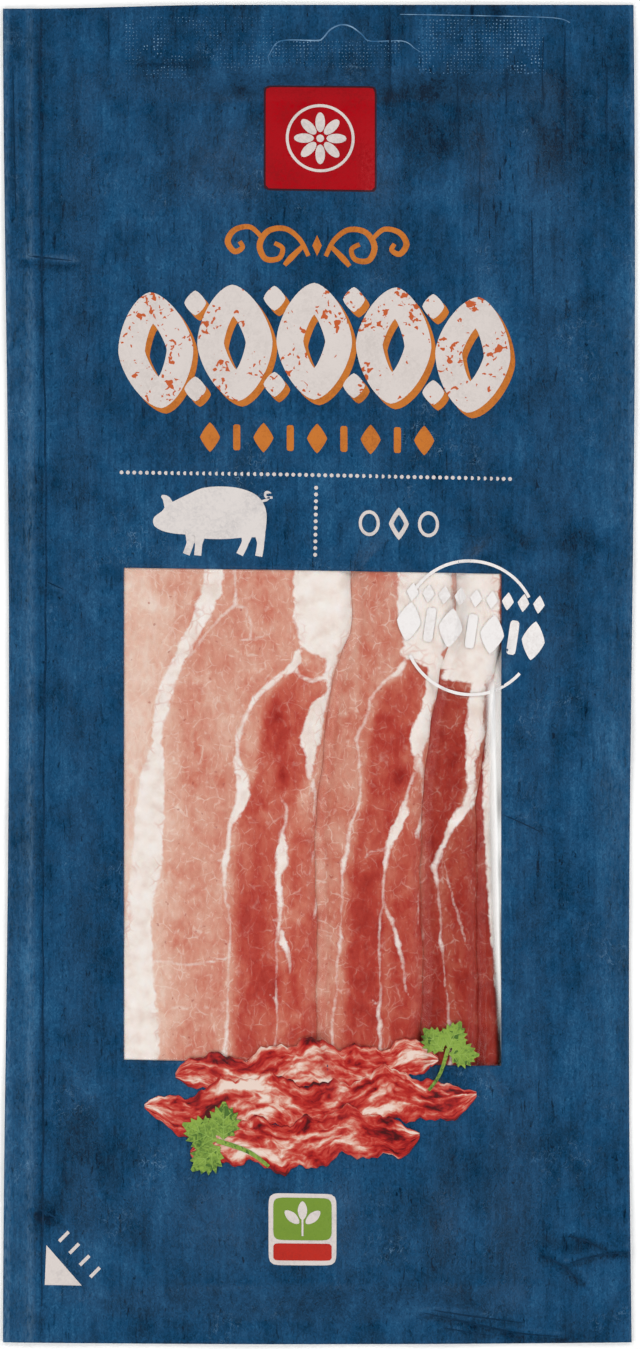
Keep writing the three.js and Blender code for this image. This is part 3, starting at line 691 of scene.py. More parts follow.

# Above 0 the kept value shows as fine pale lines along the pack: rubbing where the rim and seals
# stand proud, and painted highlight on the back of each fold. Small winding scratches in patches,
# where a mottle crosses its middle, are rubbing too
lines = add("ShaderNodeMapRange", spots(0.42, 3.0, (1, 4, 1), 0.6), 0.32, 0.78)
wear_and_painted_highlight = add("ShaderNodeMath", lines, rubbed, operation="MULTIPLY")
scratches = add("ShaderNodeMath", spots(1.3, 2.0, (1, 1.4, 1), 1.2), 0.5, 0.018,
                operation="COMPARE")
for patches, low, high in ((spots(16, 3.0), 0.56, 0.72), (spots(2.2, 2.0), 0.4, 0.65)):
    patches = add("ShaderNodeMapRange", patches, low, high)
    scratches = add("ShaderNodeMath", scratches, patches, operation="MULTIPLY")
wear_and_painted_highlight = weigh(add, wear_and_painted_highlight, (scratches, 0.0, 0.5))
colour = add("ShaderNodeMix", wear_and_painted_highlight, blue, paint("#6C90AE"), data_type="RGBA", clamp_factor=True)
relief = weigh(add, grain, (blotches, 0.5, 1.5), (streaks, 0.5, 0.5))
bump = add("ShaderNodeBump", Height=relief, Strength=0.45, Distance=0.00016)
add("ShaderNodeOutputMaterial", add(
    "ShaderNodeBsdfPrincipled", Base_Color=colour, IOR=1.5, Specular_IOR_Level=0.12, Normal=bump,
    Roughness=add("ShaderNodeMapRange", spots(3.0), 0.0, 1.3)))

printed_web, x, y = slab(
    "printed_web", stations(-PACK_WIDTH / 2, (-55, 20), (WINDOW_LEFT, 17), (WINDOW_RIGHT, 88),
                            (53, 17), (PACK_WIDTH / 2, 20)),
    stations(-PACK_LENGTH / 2, (-128, 18), (WINDOW_BOTTOM, 54), (WINDOW_TOP, 115), (120.5, 114),
             (PACK_LENGTH / 2, 32)),
    on_web, web_underside, web_top,
    keep=lambda u, v: ((u < WINDOW_LEFT) | (u > WINDOW_RIGHT)
                       | (v < WINDOW_BOTTOM) | (v > WINDOW_TOP)))
# Each crease gets painted shade in its fold and a painted highlight on its back. Above 0 the ink
# is also rubbed pale: on the left seal, down the far right and along the cut edges
painted_light_and_wear = 0.55 * crease_marks(x, y)[1]
painted_light_and_wear += 0.1 * (1 - rise(x, LEFT_SEAL_LINE - 1.6, LEFT_SEAL_LINE + 0.2))
painted_light_and_wear += 0.3 * bell(x, LEFT_SEAL_LINE - 1.7, 0.8)
painted_light_and_wear += 0.2 * rise(x, 52, 66) * (0.5 + 0.5 * ripple(x, y, 40, 17))
painted_light_and_wear += 0.4 * (1 - rise(np.minimum(x + 65.4, 65.6 - x), 0, 0.8))
# Below 0 it is darker: painted shade in the seal's groove, darker towards the two ends and beside
# the window, and painted shade in patches where the film comes down off the pile
painted_light_and_wear -= 0.5 * bell(x, LEFT_SEAL_LINE + 0.7, 0.5)
painted_light_and_wear -= (0.14 + 0.1 * rise(x, 10, 30)) * rise(y, 70, 110)
painted_light_and_wear -= 0.18 * rise(x, -20, 20) * rise(-y, 85, 112)
painted_light_and_wear -= 0.2 * hump(x, y, (51, -42), (8, 14)) - 0.14 * hump(x, y, (62, -30), (4, 26))
for middle, reach in PAINTED_SHADE_PATCHES:
    painted_light_and_wear -= 0.55 * hump(x, y, middle, reach) * (1 + 0.5 * ripple(x, y, 6, 21))
keep_values(printed_web, rubbed=np.clip(painted_light_and_wear, -1.3, 1.3))
finish_piece(printed_web, printed_laminate, "printed_film", "printed_film")


# The clear window
# The same laminate left unprinted. The vacuum draws it tight over the slices, so it shows as a
# thin gloss with small ridges, and as a fold down the right side whose brightness is a painted
# highlight.
FOLD_TOP, FOLD_SLANT, FOLD_START = 36.35, -0.0235, -2.0
FOLD_FADES_IN, FOLD_FADES_OUT = (-1, 5), (58, 77)
FOLD_HEIGHT, FOLD_WIDTH = 0.3, 0.45

# Clear film of refractive index 1.5, with ridges 2.4 mm apart: it passes what is under it and
# mirrors the lamps as one face of film does, 4% head on and more at a slant
clear_laminate, add, where = new_material("clear_polyester_laminate")
creeping = add("ShaderNodeTexNoise", where, 420.0, 3.0, Distortion=0.8)
bump = add("ShaderNodeBump", Height=creeping, Strength=0.5, Distance=0.00018)
slant = add("ShaderNodeLayerWeight", 0.5, bump, out="Facing")
slant = add("ShaderNodeMath", slant, 5.0, operation="POWER")
mirrored = add("ShaderNodeMath", slant, 0.5, 0.02, operation="MULTIPLY_ADD")
film = add("ShaderNodeMixShader", mirrored,
           add("ShaderNodeBsdfTransparent", (0.99, 0.99, 0.99, 1)),
           add("ShaderNodeBsdfAnisotropic", Roughness=0.16, Normal=bump))
# A white diffuse mixed into the film along the fold on the right is a painted highlight
haze = add("ShaderNodeAttribute", attribute_name="haze", out="Fac")
add("ShaderNodeOutputMaterial", add(
    "ShaderNodeMixShader", haze, film, add("ShaderNodeBsdfDiffuse", paint("#FBFAF8"))))


def fold_line(y):
    """Where the bright fold runs, and how strong it is there."""
    strength = rise(-y, *FOLD_FADES_IN) * (1 - rise(-y, *FOLD_FADES_OUT))
    return FOLD_TOP + FOLD_SLANT * (y - FOLD_START), strength


def window_underside(x, y):
    line, strength = fold_line(y)
    return web_underside(x, y) + FOLD_HEIGHT * strength * bell(x, line, FOLD_WIDTH)


window_web, x, y = slab(
    "window_web", stations(WINDOW_LEFT, (30, 112), (34, 12), (WINDOW_RIGHT, 26)),
    stations(WINDOW_BOTTOM, (WINDOW_TOP, 165)), on_web, window_underside,
    lambda x, y: window_underside(x, y) + UPPER_WEB_THICKNESS)
# How much white is mixed in: painted highlight along the fold, broad left of its line and narrowing
# down the window, a paler band of painted reflection right of it, and a faint whitening over the
# upper right of the window
line, strength = fold_line(y)
reach = np.where(x < line, 0.95 - 0.5 * rise(-y, 45, 70), 0.3)
beyond = 0.55 * rise(x, line, line + 0.3) * (1 - rise(-y, 38, 58))
highlight_share = strength * (0.9 * bell(x, line, reach) + beyond * (1 + 0.4 * ripple(x, y, 9, 61)))
highlight_share += 0.05 * rise(x, 12, 20) * (1 - rise(x, 30, 36)) * rise(y, 8, 20)
keep_values(window_web, haze=np.clip(highlight_share, 0, 0.95))
finish_piece(window_web, clear_laminate, "clear_film", "window_film")


# The white and coloured print
# Gravure inks laid down before the blue one and seen through the same film: an orange and cream
# heading, a red panel, dotted rules, a pig, a ring badge, a picture of rashers and a round mark.
INK_STEP, INK_THICKNESS, REGION_STEP = 0.045, 0.03, 0.0007


def outline(centre, across, along, power=1.0, count=64, turn=0.0):
    """A closed outline: power 1 is an ellipse, 2 a diamond, and below 1 a box with round
    corners."""
    angles = np.linspace(0, math.tau, count * 16 + 1)
    x, y = (reach * np.sign(wave) * np.abs(wave) ** power
            for reach, wave in ((across, np.cos(angles)), (along, np.sin(angles))))
    run = np.concatenate([[0], np.cumsum(np.hypot(np.diff(x), np.diff(y)))])
    even = np.linspace(0, run[-1], count, endpoint=False)
    return moved(np.stack([np.interp(even, run, x), np.interp(even, run, y)], 1), centre, turn)


def moved(points, centre, turn=0.0, size=1.0):
    turn = math.radians(turn)
    x, y = (np.array(points, float) * size).T
    return np.stack([centre[0] + x * math.cos(turn) - y * math.sin(turn),
                     centre[1] + x * math.sin(turn) + y * math.cos(turn)], 1)


def curve(points, closed=False, steps=6):
    """A smooth line through points."""
    points = np.array(points, float)
    around = np.roll(points, 1, 0), points, np.roll(points, -1, 0), np.roll(points, -2, 0)
    if not closed:
        padded = np.concatenate([points[:1], points, points[-1:]])
        around = padded[:-3], padded[1:-2], padded[2:-1], padded[3:]
    p, q, r, s = (part[:, None] for part in around)
    t = np.linspace(0, 1, steps, endpoint=False)[None, :, None]
    line = 0.5 * (2 * q + (r - p) * t + (2 * p - 5 * q + 4 * r - s) * t ** 2
                  + (3 * q - p - 3 * r + s) * t ** 3).reshape(-1, 2)
    return line if closed else np.concatenate([line, points[-1:]])


def stroke(path, *widths):
    """The outline of a line, whose width may change along it."""
    path = np.array(path, float)
    ahead = np.gradient(path, axis=0)
    ahead /= np.linalg.norm(ahead, axis=1, keepdims=True)
    half = np.interp(np.linspace(0, 1, len(path)), np.linspace(0, 1, len(widths)), widths) / 2
    side = np.stack([-ahead[:, 1], ahead[:, 0]], 1) * half[:, None]
    return np.concatenate([path + side, (path - side)[::-1]])


def lay_print(name, regions, material, slot, layer=1, step=1.0, at=(0, 0)):
    """Lays flat regions on the film: each is an outline, or a list of an outline and its holes, in
    mm on the straight web, measured from at."""
    sheet = bmesh.new()
    for number, region in enumerate(regions):
        loops = [[Vector((x + at[0], y + at[1], number * REGION_STEP)) for x, y in loop]
                 for loop in (region if isinstance(region, list) else [region])]
        corners = [sheet.verts.new(corner) for loop in loops for corner in loop]
        for triangle in tessellate_polygon(loops):
            sheet.faces.new([corners[i] for i in triangle])
    for axis in (0, 1):
        places = [vert.co[axis] for vert in sheet.verts]
        normal = Vector((axis == 0, axis == 1, 0))
        for cut in np.arange(min(places) + step, max(places), step):
            bmesh.ops.bisect_plane(sheet, geom=sheet.verts[:] + sheet.edges[:] + sheet.faces[:],
                                   plane_co=normal * cut, plane_no=normal)
    for face in sheet.faces:
        face.normal_update()
        if face.normal.z < 0:
            face.normal_flip()
    flat = np.array([vert.co[:] for vert in sheet.verts])
    x, y = on_web(flat[:, 0], flat[:, 1])
    z = web_top(x, y) + layer * INK_STEP + flat[:, 2]
    for vert, place in zip(sheet.verts, np.stack([x, y, z], 1) * MM):
        vert.co = place
    # The underside is a copy turned over, and walls close the rim between the two
    upper = sheet.faces[:]
    copied = bmesh.ops.duplicate(sheet, geom=upper)
    twin = copied["vert_map"]
    lower = [part for part in copied["geom"] if isinstance(part, bmesh.types.BMFace)]
    rim = [(*edge.verts, edge.link_faces[0]) for face in upper
           for edge in face.edges if len(edge.link_faces) == 1]
    for face in lower:
        face.normal_flip()
    for vert in {corner for face in lower for corner in face.verts}:
        vert.co.z -= INK_THICKNESS * MM
    for first, second, face in rim:
        around = face.verts[:]
        follows = around[(around.index(first) + 1) % len(around)] is second
        one, two = (first, second) if follows else (second, first)
        sheet.faces.new([two, one, twin[one], twin[two]])
    mesh = bpy.data.meshes.new(name)
    sheet.to_mesh(mesh)
    sheet.free()
    finish_piece(put_in_scene(name, mesh), material, slot)


def ink(name, code, worn, speck=None):
    """Ink under film: clouds of 7 mm and a grain of 0.8 mm where it printed thin, with flecks of
    1 mm in another colour."""
    made, add, where = new_material(name)
    clouds = add("ShaderNodeTexNoise", where, 150.0, 4.0)
    grain = add("ShaderNodeTexNoise", where, 1300.0, 2.0, Distortion=1.0)
    share = add("ShaderNodeMath", clouds, grain, operation="MULTIPLY")
    faded = add("ShaderNodeMapRange", share, 0.2, 0.42)
    colour = add("ShaderNodeMix", faded, paint(code), paint(worn), data_type="RGBA")
    if speck:
        flakes = add("ShaderNodeTexNoise", where, 900.0, 1.0, Distortion=0.5)
        groups = add("ShaderNodeTexNoise", where, 170.0)
        marks = add("ShaderNodeMapRange", add(
            "ShaderNodeMath", flakes, groups, operation="ADD"), 1.17, 1.2)
        colour = add("ShaderNodeMix", marks, colour, paint(speck), data_type="RGBA")
    bump = add("ShaderNodeBump", Height=grain, Strength=0.3, Distance=0.0001)
    add("ShaderNodeOutputMaterial", add(
        "ShaderNodeBsdfPrincipled", Base_Color=colour, Roughness=grain, IOR=1.5,
        Specular_IOR_Level=0.12, Normal=bump))
    return made


CREAM = "#D4CBC6"
cream_ink = ink("white_gravure_ink", CREAM, "#C3BBB8")
rusty_ink = ink("flecked_white_gravure_ink", CREAM, "#C9C0BB", "#BD5A30")
orange_ink = ink("orange_gravure_ink", "#C2722E", "#A95F24")

# Painted shade in the folds: dark strokes laid along each crease and down the left seal's groove,
# where the fold's shade falls
fold_lines = [stroke(curve(line), 0.08, 0.34 * width, 0.3 * width, 0.08)
              for width, line in CREASES]
down = np.linspace(-133, 136, 90)
seal_fold = np.stack([LEFT_SEAL_LINE + 0.55 + SEAL_WAVE * np.sin(down / SEAL_WAVE_LENGTH)
                      + 0.12 * np.sin(down / 2.7), down], 1)
fold_lines.append(stroke(seal_fold, 0.2, 0.42, 0.25, 0.45, 0.3, 0.42, 0.2))
lay_print("fold_lines", fold_lines, ink("ink_in_a_fold", "#042740", "#0A3555"), "printed_film",
          0.8)

# A red panel with a rosette, on a dark border: three flat inks in register, the white of the
# rosette laid down first and so nearest the eye
PANEL = (0.25, 112.2)
PETALS, PETAL_REACH = 8, 3.4
lay_print("panel_border", [outline(PANEL, 11.8, 11.2, 0.07, 96)],
          ink("dark_gravure_ink", "#3A1520", "#331019"), "print_red", 1)
lay_print("panel", [outline(PANEL, 11.4, 10.8, 0.06, 96)],
          ink("red_gravure_ink", "#A3000F", "#94000C"), "print_red", 2)
rosette = [moved(outline((PETAL_REACH, 0), 2.1, 1.0, count=24), PANEL, number * 360 / PETALS)
           for number in range(PETALS)]
rosette += [outline(PANEL, 0.8, 0.8, count=20), [outline(PANEL, 7.2, 7.2),
                                                 outline(PANEL, 6.6, 6.6)]]
lay_print("panel_rosette", rosette, cream_ink, "print_cream", 3)

# Orange scrolls above the heading: flat orange ink in lines that swell like pen strokes, in
# mirrored pairs about a diamond
SCROLLS = (-0.4, 89.6)
scrolls = [outline((0, 0), 1.0, 2.2, 2.0, 24)]
for line in (
        [(1.8, -2.2), (3.6, 1.2), (6.6, 3.4), (10.2, 2.9), (12.0, 0.0), (10.8, -2.9), (8.0, -2.8),
         (7.2, -0.7), (8.9, 0.4)],
        [(11.6, 1.6), (14.0, 3.7), (17.2, 3.1), (18.7, 0.7), (17.3, -1.4), (15.6, -0.6),
         (16.2, 0.7)],
        [(3.0, -0.2), (5.4, -2.6), (6.8, -4.2)]):
    for side in (1, -1):
        scrolls.append(stroke(curve([(side * x, y) for x, y in line]), 0.9, 1.3, 0.9))
lay_print("scrolls", scrolls, orange_ink, "print_orange", at=SCROLLS)

# The heading: five tall fanned lozenges with small ones between them, in white ink with rusty
# flecks, over the same shapes in orange as a shadow down to the right
HEADING, HEADING_PITCH, HEADING_ARCH = (-1.0, 69.6), 16.6, 0.55
HEADING_FAN, SHADOW_SHIFT = -3.0, (1.0, -1.15)


def in_heading(number, up=0.0):
    return number * HEADING_PITCH + HEADING[0], HEADING[1] + up - HEADING_ARCH * number ** 2


heading = [[outline(in_heading(number), 7.9, 12.2, 1.25, 64, HEADING_FAN * number),
            outline(in_heading(number), 2.3, 5.6, 1.6, 32, HEADING_FAN * number)[::-1]]
           for number in range(-2, 3)]
heading += [outline(in_heading(number, up), 2.3, 2.6, 1.5, 24)
            for number in (-1.5, -0.5, 0.5, 1.5) for up in (-9.0, 9.0)]
lay_print("heading_shadow", heading, orange_ink, "print_orange", 1, at=SHADOW_SHIFT)
lay_print("heading", heading, rusty_ink, "print_cream", 2)

# A row of diamonds and bars under the heading, in the same flat orange ink as the scrolls
BAR, DIAMOND = (0.75, 2.7, 0.25), (2.1, 3.1, 1.7)
row = [outline((number * 5.6 - 0.4, 49.3), *(BAR if number % 2 else DIAMOND), 32)
       for number in range(-4, 5)]
lay_print("diamond_row", row, orange_ink, "print_orange")

# A pig in profile, in white ink that printed a little grey, and to its right a small mark of
# two rings and a diamond in the heading's white
PIG, MARK = (-22.0, 32.0), (16.7, 31.8)
pig = [curve([(-12.5, -1.4), (-12.6, 0.3), (-10.9, 1.7), (-9.9, 3.0), (-8.2, 3.9), (-5.6, 5.2),
              (-2.4, 6.6), (1.6, 7.0), (5.6, 6.6), (9.0, 5.2), (10.8, 2.6), (11.0, -0.6),
              (10.2, -3.2), (6.4, -3.6), (2.0, -4.0), (-2.4, -3.9), (-5.4, -3.2), (-8.0, -3.0),
              (-10.6, -2.5)], True)]
for leg in ([(-4.6, -2.6), (-5.0, -5.0), (-5.8, -7.3)], [(-3.2, -3.0), (-3.2, -5.2), (-3.4, -7.5)],
            [(7.0, -2.0), (6.6, -4.6), (5.4, -7.2)], [(9.4, -1.0), (9.8, -4.6), (9.4, -7.5)]):
    pig.append(stroke(curve(leg), 3.2, 1.5, 1.5))
pig.append(stroke(curve([(-9.3, 2.6), (-10.0, 4.2), (-11.0, 4.9)]), 2.2, 1.6, 0.4))
pig.append(stroke(curve([(10.0, 4.0), (11.2, 4.4), (11.8, 5.6), (10.9, 5.9), (10.9, 4.9),
                         (12.3, 4.8)]), 0.5, 0.5))
lay_print("pig", pig, ink("grey_white_gravure_ink", "#D8D1CD", "#C5BFBD"), "print_cream", at=PIG)
mark = [[outline((0, 0), 2.1, 3.4, 1.7, 32), outline((0, 0), 1.1, 1.9, 1.7, 32)[::-1]]]
mark += [[outline((side, 0), 2.2, 2.7, count=40), outline((side, 0), 1.55, 2.0, count=40)[::-1]]
         for side in (-6.2, 6.2)]
lay_print("ring_mark", mark, cream_ink, "print_cream", at=MARK)

# A ring badge across the window's edge, with two slanting rows of diamonds and bars: thin white
# ink, laid on the clear film and the blue alike
BADGE, BADGE_RADIUS, BADGE_LINE, BADGE_ARCS = (31.7, 10.3), 14.0, 0.65, ((28, 152), (205, 318))
badge = []
for start, end in BADGE_ARCS:
    angles = np.radians(np.linspace(start, end, 48))
    arc = np.stack([np.cos(angles), np.sin(angles)], 1) * BADGE_RADIUS
    badge.append(moved(stroke(arc, BADGE_LINE, BADGE_LINE), BADGE))
for share in np.linspace(0, 1, 9):
    badge.append(outline((19.6 + 26.6 * share, 17.6 - 2.2 * share), 1.25, 1.9, 1.8, 24, -6))
for number, share in enumerate(np.linspace(0, 1, 7)):
    shape = (1.0, 3.6, 0.3) if number % 2 else (2.5, 4.1, 1.6)
    badge.append(outline((18.8 + 26.2 * share, 11.4 - 3.6 * share), *shape, 32, -8))
lay_print("ring_badge", badge, ink("thin_white_gravure_ink", "#EAE6E4", "#DCD6D3"),
          "print_cream", 1, 0.7)

# The round-cornered mark below the picture: a green field with a white sprig, over a red band,
# each a flat ink on a white ground
ORIGIN = (-3.45, -116.1)
for name, up, shape, finish, slot, layer in (
        ("mark_ground", 0.0, (7.1, 7.6, 0.2, 64), cream_ink, "print_cream", 1),
        ("mark_field", 2.2, (6.1, 4.5, 0.24, 64), ink("green_gravure_ink", "#728F33", "#6C8A30"),
         "print_green", 2),
        ("mark_band", -4.8, (6.1, 1.8, 0.16, 48),
         ink("label_red_gravure_ink", "#B42A20", "#A8261D"), "print_red", 2)):
    lay_print(name, [outline((0, up), *shape)], finish, slot, layer, at=ORIGIN)
sprig = [outline((0, 4.0), 1.0, 2.0, 1.2, 24), stroke([(0, -1.4), (0, 2.4)], 0.4, 0.4),
         outline((-2.2, 2.6), 1.0, 2.0, 1.2, 24, 48), outline((2.2, 2.6), 1.0, 2.0, 1.2, 24, -48)]
lay_print("mark_sprig", sprig, cream_ink, "print_cream", 3, at=ORIGIN)

# A triangle in the corner where the pack peels open, with four slanting bars beside it, in flat
# white ink
CORNER = (-57.6, -128.6)
bar = stroke([(3.0, 9.0), (5.0, 11.0)], 0.7, 0.7)
corner_marks = [np.array([(0, 0), (7.8, 0), (0.3, 8.2)])]
corner_marks += [moved(bar, (2.2 * number, -2.4 * number)) for number in range(4)]
lay_print("corner_triangle", corner_marks, cream_ink, "print_cream", at=CORNER)


# The printed picture
# Three fried rashers, curled and streaked with fat, with two sprigs of parsley. It is printed
# across the lower edge of the window, on the clear film too.
RASHER_LIFT = 0.16
RASHERS = [
    # left end, right end, half-width, length of a curl, its height, phase
    ((-30.0, -85.0), (25.0, -80.5), 5.0, 23.0, 1.2, 0.4),
    ((-36.5, -92.0), (33.0, -87.5), 5.2, 27.0, 1.3, 2.3),
    ((-27.0, -99.5), (21.0, -95.5), 5.0, 21.0, 1.1, 4.4)]
# Pale streaks along a rasher: middle across it, sway and strength
FAT_STREAKS, FAT_STREAK_WIDTH = ((0.45, 0.25, 3.2), (-0.35, 0.3, 2.6), (0.95, 0.1, 3.0)), 0.13
RASHER_STEP, RASHER_ROWS = 0.6, 19

# Fried bacon: crisp red lean, darkest in the folds, and glassy pink fat on the crests. Its mottle
# runs in the rasher's own directions: along it, across it, and by its number.
fried_bacon, add, _ = new_material("fried_bacon_gravure_picture")
along, across, rasher, fold = (
    add("ShaderNodeAttribute", attribute_name=name, out="Fac")
    for name in ("along", "across", "rasher", "fold"))
value = weigh(add, -0.92, (fold, 0.0, 0.13))
for stretch, detail, distortion, weight in (((0.11, 1.5, 9.0), 5.0, 1.2, 1.9),
                                            ((0.5, 4.0, 5.0), 4.0, 0.8, 0.95)):
    spread = add("ShaderNodeVectorMath", add("ShaderNodeCombineXYZ", along, across, rasher),
                 stretch, operation="MULTIPLY")
    grain = add("ShaderNodeTexNoise", spread, 1.0, detail, Distortion=distortion)
    value = weigh(add, value, (grain, 0.0, weight))
colour = add("ShaderNodeValToRGB", value, stops=[
    (0.1, "#45070B"), (0.27, "#850D12"), (0.42, "#AC211B"), (0.56, "#BC4236"), (0.7, "#C8705F"),
    (0.84, "#D8A896"), (1.0, "#E3CDC0")])
add("ShaderNodeOutputMaterial", add(
    "ShaderNodeBsdfPrincipled", Base_Color=colour, Roughness=0.5, Specular_IOR_Level=0.2))


def make_rasher(number, left, right, half, curl, tall, phase):
    (x0, y0), (x1, y1) = left, right
    length = math.hypot(x1 - x0, y1 - y0)
    columns = np.linspace(0, length, int(length / RASHER_STEP))
    rows = np.linspace(-1, 1, RASHER_ROWS)

    def bend(along, across=0.0):
        return np.sin(along * math.tau / curl + phase + 0.5 * np.sin(along / 9.0) + 1.1 * across)

    def place(along, across):
        share = along / length
        swell = 1 + 0.16 * np.sin(along * math.tau / (0.43 * curl) + 2 * phase + across)
        swell = swell + 0.07 * np.sin(along * 1.3 + 3 * across + phase)
        swell = swell + 0.05 * np.sin(along * 2.9 + 5 * across)
        taper = np.clip(1 - np.abs(2 * share - 1) ** 4, 0.02, 1) ** 0.6
        offset = tall * bend(along) + half * across * swell * taper
        return on_web(x0 + (x1 - x0) * share - (y1 - y0) / length * offset,
                      y0 + (y1 - y0) * share + (x1 - x0) / length * offset)

    lift = RASHER_LIFT + number * INK_STEP
    piece, _, _ = slab(f"rasher_{number + 1}", columns, rows, place,
                       lambda x, y: web_top(x, y) + lift - INK_THICKNESS,
                       lambda x, y: web_top(x, y) + lift)
    along, across = (np.tile(part.ravel(), 2) for part in np.meshgrid(columns, rows))
    fold = bend(along, across) - 0.9 * np.abs(across) ** 6
    for middle, sway, strength in FAT_STREAKS:
        streak = middle + sway * np.sin(along / 5.3 + 3 * middle + phase)
        patchy = 0.5 + 0.5 * np.sin(along / 3.7 + 9 * middle + 2 * phase)
        fold = fold + strength * patchy * bell(across, streak, FAT_STREAK_WIDTH)
    keep_values(piece, along=along, across=across, fold=fold, rasher=0 * along + number)
    finish_piece(piece, fried_bacon, "print_red")


for number, rasher in enumerate(RASHERS):
    make_rasher(number, *rasher)

# Parsley, printed in two greens: three toothed leaflets on a stalk, with pale veins. LEAFLET is
# the right half of a leaflet's edge from the stalk to the tip, and VEINS are that half's veins.
LEAFLET = [(0.1, 0), (0.6, 0.5), (1.6, 0.6), (1.4, 1.2), (2.3, 1.6), (1.8, 2.1), (2.5, 2.9),
           (1.7, 2.9), (2, 3.9), (1.3, 3.7), (1.2, 4.6), (0.7, 4.3), (0.2, 5.3)]
VEINS = [[(0, 0.6), (1.5, 1.6)], [(0, 1.6), (1.6, 2.8)], [(0, 2.7), (1.1, 3.8)]]
leaf_ink = ink("parsley_gravure_picture", "#86A446", "#46672B", "#4A6B2E")
vein_ink = ink("parsley_vein_gravure_picture", "#92AF55", "#6F9440")
leaf_edge = LEAFLET + [(-x, y) for x, y in LEAFLET[::-1]]
veins = [[(0, 0), (0, 4.4)]] + VEINS + [[(-x, y) for x, y in vein] for vein in VEINS]
for number, place in enumerate((((26.5, -79.0), -25, 1.2), ((-20.0, -98.5), 65, 1.5))):
    green, pale = [moved(stroke(curve([(0, -7), (0.6, -3.5), (0, 1)]), 0.5, 0.7), *place)], []
    for lean, reach in ((0, 1.0), (66, 0.6), (-66, 0.6)):
        start = moved([(0, reach)], (0, 0), lean)[0]
        green.append(moved(moved(leaf_edge, start, lean), *place))
        pale += [moved(stroke(moved(vein, start, lean), 0.18, 0.08), *place) for vein in veins]
    lay_print(f"parsley_{number + 1}", green, leaf_ink, "print_green", 8)
    lay_print(f"parsley_veins_{number + 1}", pale, vein_ink, "print_green", 9)


# The dotted rules
# Round dots of white ink at an even pitch: one line across the pack under the heading, and one
# down between the pig and the mark beside it.
ABOVE_PACK, DOT_RADIUS, DOT_THICKNESS = 12.0, 0.41, 0.08


def node_group(name, **inputs):
    """A Geometry Nodes group with named inputs, what adds nodes to it, and those inputs."""
    tree = bpy.data.node_groups.new(name, "GeometryNodeTree")
    for label, kind in inputs.items():
        tree.interface.new_socket(label.replace("_", " "), in_out="INPUT",
                                  socket_type="NodeSocket" + kind)
    tree.interface.new_socket("Geometry", in_out="OUTPUT", socket_type="NodeSocketGeometry")
    return tree, partial(add_node, tree), tree.nodes.new("NodeGroupInput").outputs


def drop_on_film(add, points, film, depth):
    """Drops points straight down on to the film, and sinks them a little."""
    surface = add("GeometryNodeObjectInfo", film, transform_space="RELATIVE", out="Geometry")
    landing = add("GeometryNodeRaycast", Target_Geometry=surface, Ray_Direction=(0, 0, -1),
                  Ray_Length=0.05, out="Hit Position")
    return add("GeometryNodeSetPosition", points, Position=landing, Offset=(0, 0, -depth))


def realize(add, points, shape, scale, material):
    """Puts a shape on every point, joins all into one mesh and gives it its material."""
    copies = add("GeometryNodeInstanceOnPoints", points, Instance=shape, Scale=scale)
    joined = add("GeometryNodeRealizeInstances", copies)
    add("NodeGroupOutput", add("GeometryNodeSetMaterial", joined, Material=material))


def grow(name, tree, slot, **values):
    """Runs a node group with its inputs set, and keeps what it makes as a plain mesh."""
    host = put_in_scene(name, bpy.data.meshes.new(name))
    modifier = host.modifiers.new(name, "NODES")
    modifier.node_group = tree
    for item in tree.interface.items_tree:
        if item.in_out == "INPUT":
            modifier[item.identifier] = values[item.name.replace(" ", "_")]
    host.update_tag()
    bpy.context.view_layer.update()
    evaluated = host.evaluated_get(bpy.context.evaluated_depsgraph_get())
    made = bpy.data.meshes.new_from_object(evaluated)
    host.modifiers.remove(modifier)
    host.data = made
    made.name = name
    finish_piece(host, values["Material"], slot)


dotted_rule, add, given = node_group(
    "dotted_rule", Film="Object", Start="Vector", Step="Vector", Count="Int", Radius="Float",
    Material="Material")
line = add("GeometryNodeMeshLine", given["Count"], given["Start"], given["Step"])
dot = add("GeometryNodeMeshCylinder", 14, Radius=given["Radius"], Depth=DOT_THICKNESS * MM)
realize(add, drop_on_film(add, line, given["Film"], 0.0), dot, (1, 1, 1), given["Material"])

for name, start, end, count in (("rule_across", (-41.4, 41.7), (40.0, 41.6), 62),
                                ("rule_down", (-0.6, 39.0), (-0.8, 25.0), 11)):
    start, end = (np.append(on_web(*point), ABOVE_PACK) * MM for point in (start, end))
    grow(name, dotted_rule, "print_cream", Film=printed_web, Start=start.tolist(),
         Step=((end - start) / (count - 1)).tolist(), Count=count, Radius=DOT_RADIUS * MM,
         Material=cream_ink)


# The marks in the top seal
# The sealing bar has pressed a waffle of small pips into the top seal. The hanging slot is cut
# through there, but its flap is still in place, so only the pale edge of the cut shows.
PIP_PITCH, PIP_RADIUS, PIP_JITTER, PIP_FLATNESS = 0.74, 0.18, 0.5, 0.3

# Blue film turned pale where a sealing bar or a cutter has pressed it, in patches of 3 mm. The
# pale blue also stands in for the glints of the pips and of the cut's edge: painted highlight.
glinting_pressed_film, add, where = new_material("pressed_polyester_laminate")
patches = add("ShaderNodeMapRange", add("ShaderNodeTexNoise", where, 350.0), 0.35, 0.7)
colour = add("ShaderNodeMix", patches, paint("#2F6088"), paint("#7FA0BC"), data_type="RGBA")
add("ShaderNodeOutputMaterial", add(
    "ShaderNodeBsdfPrincipled", Base_Color=colour, Roughness=0.4, Specular_IOR_Level=0.2))

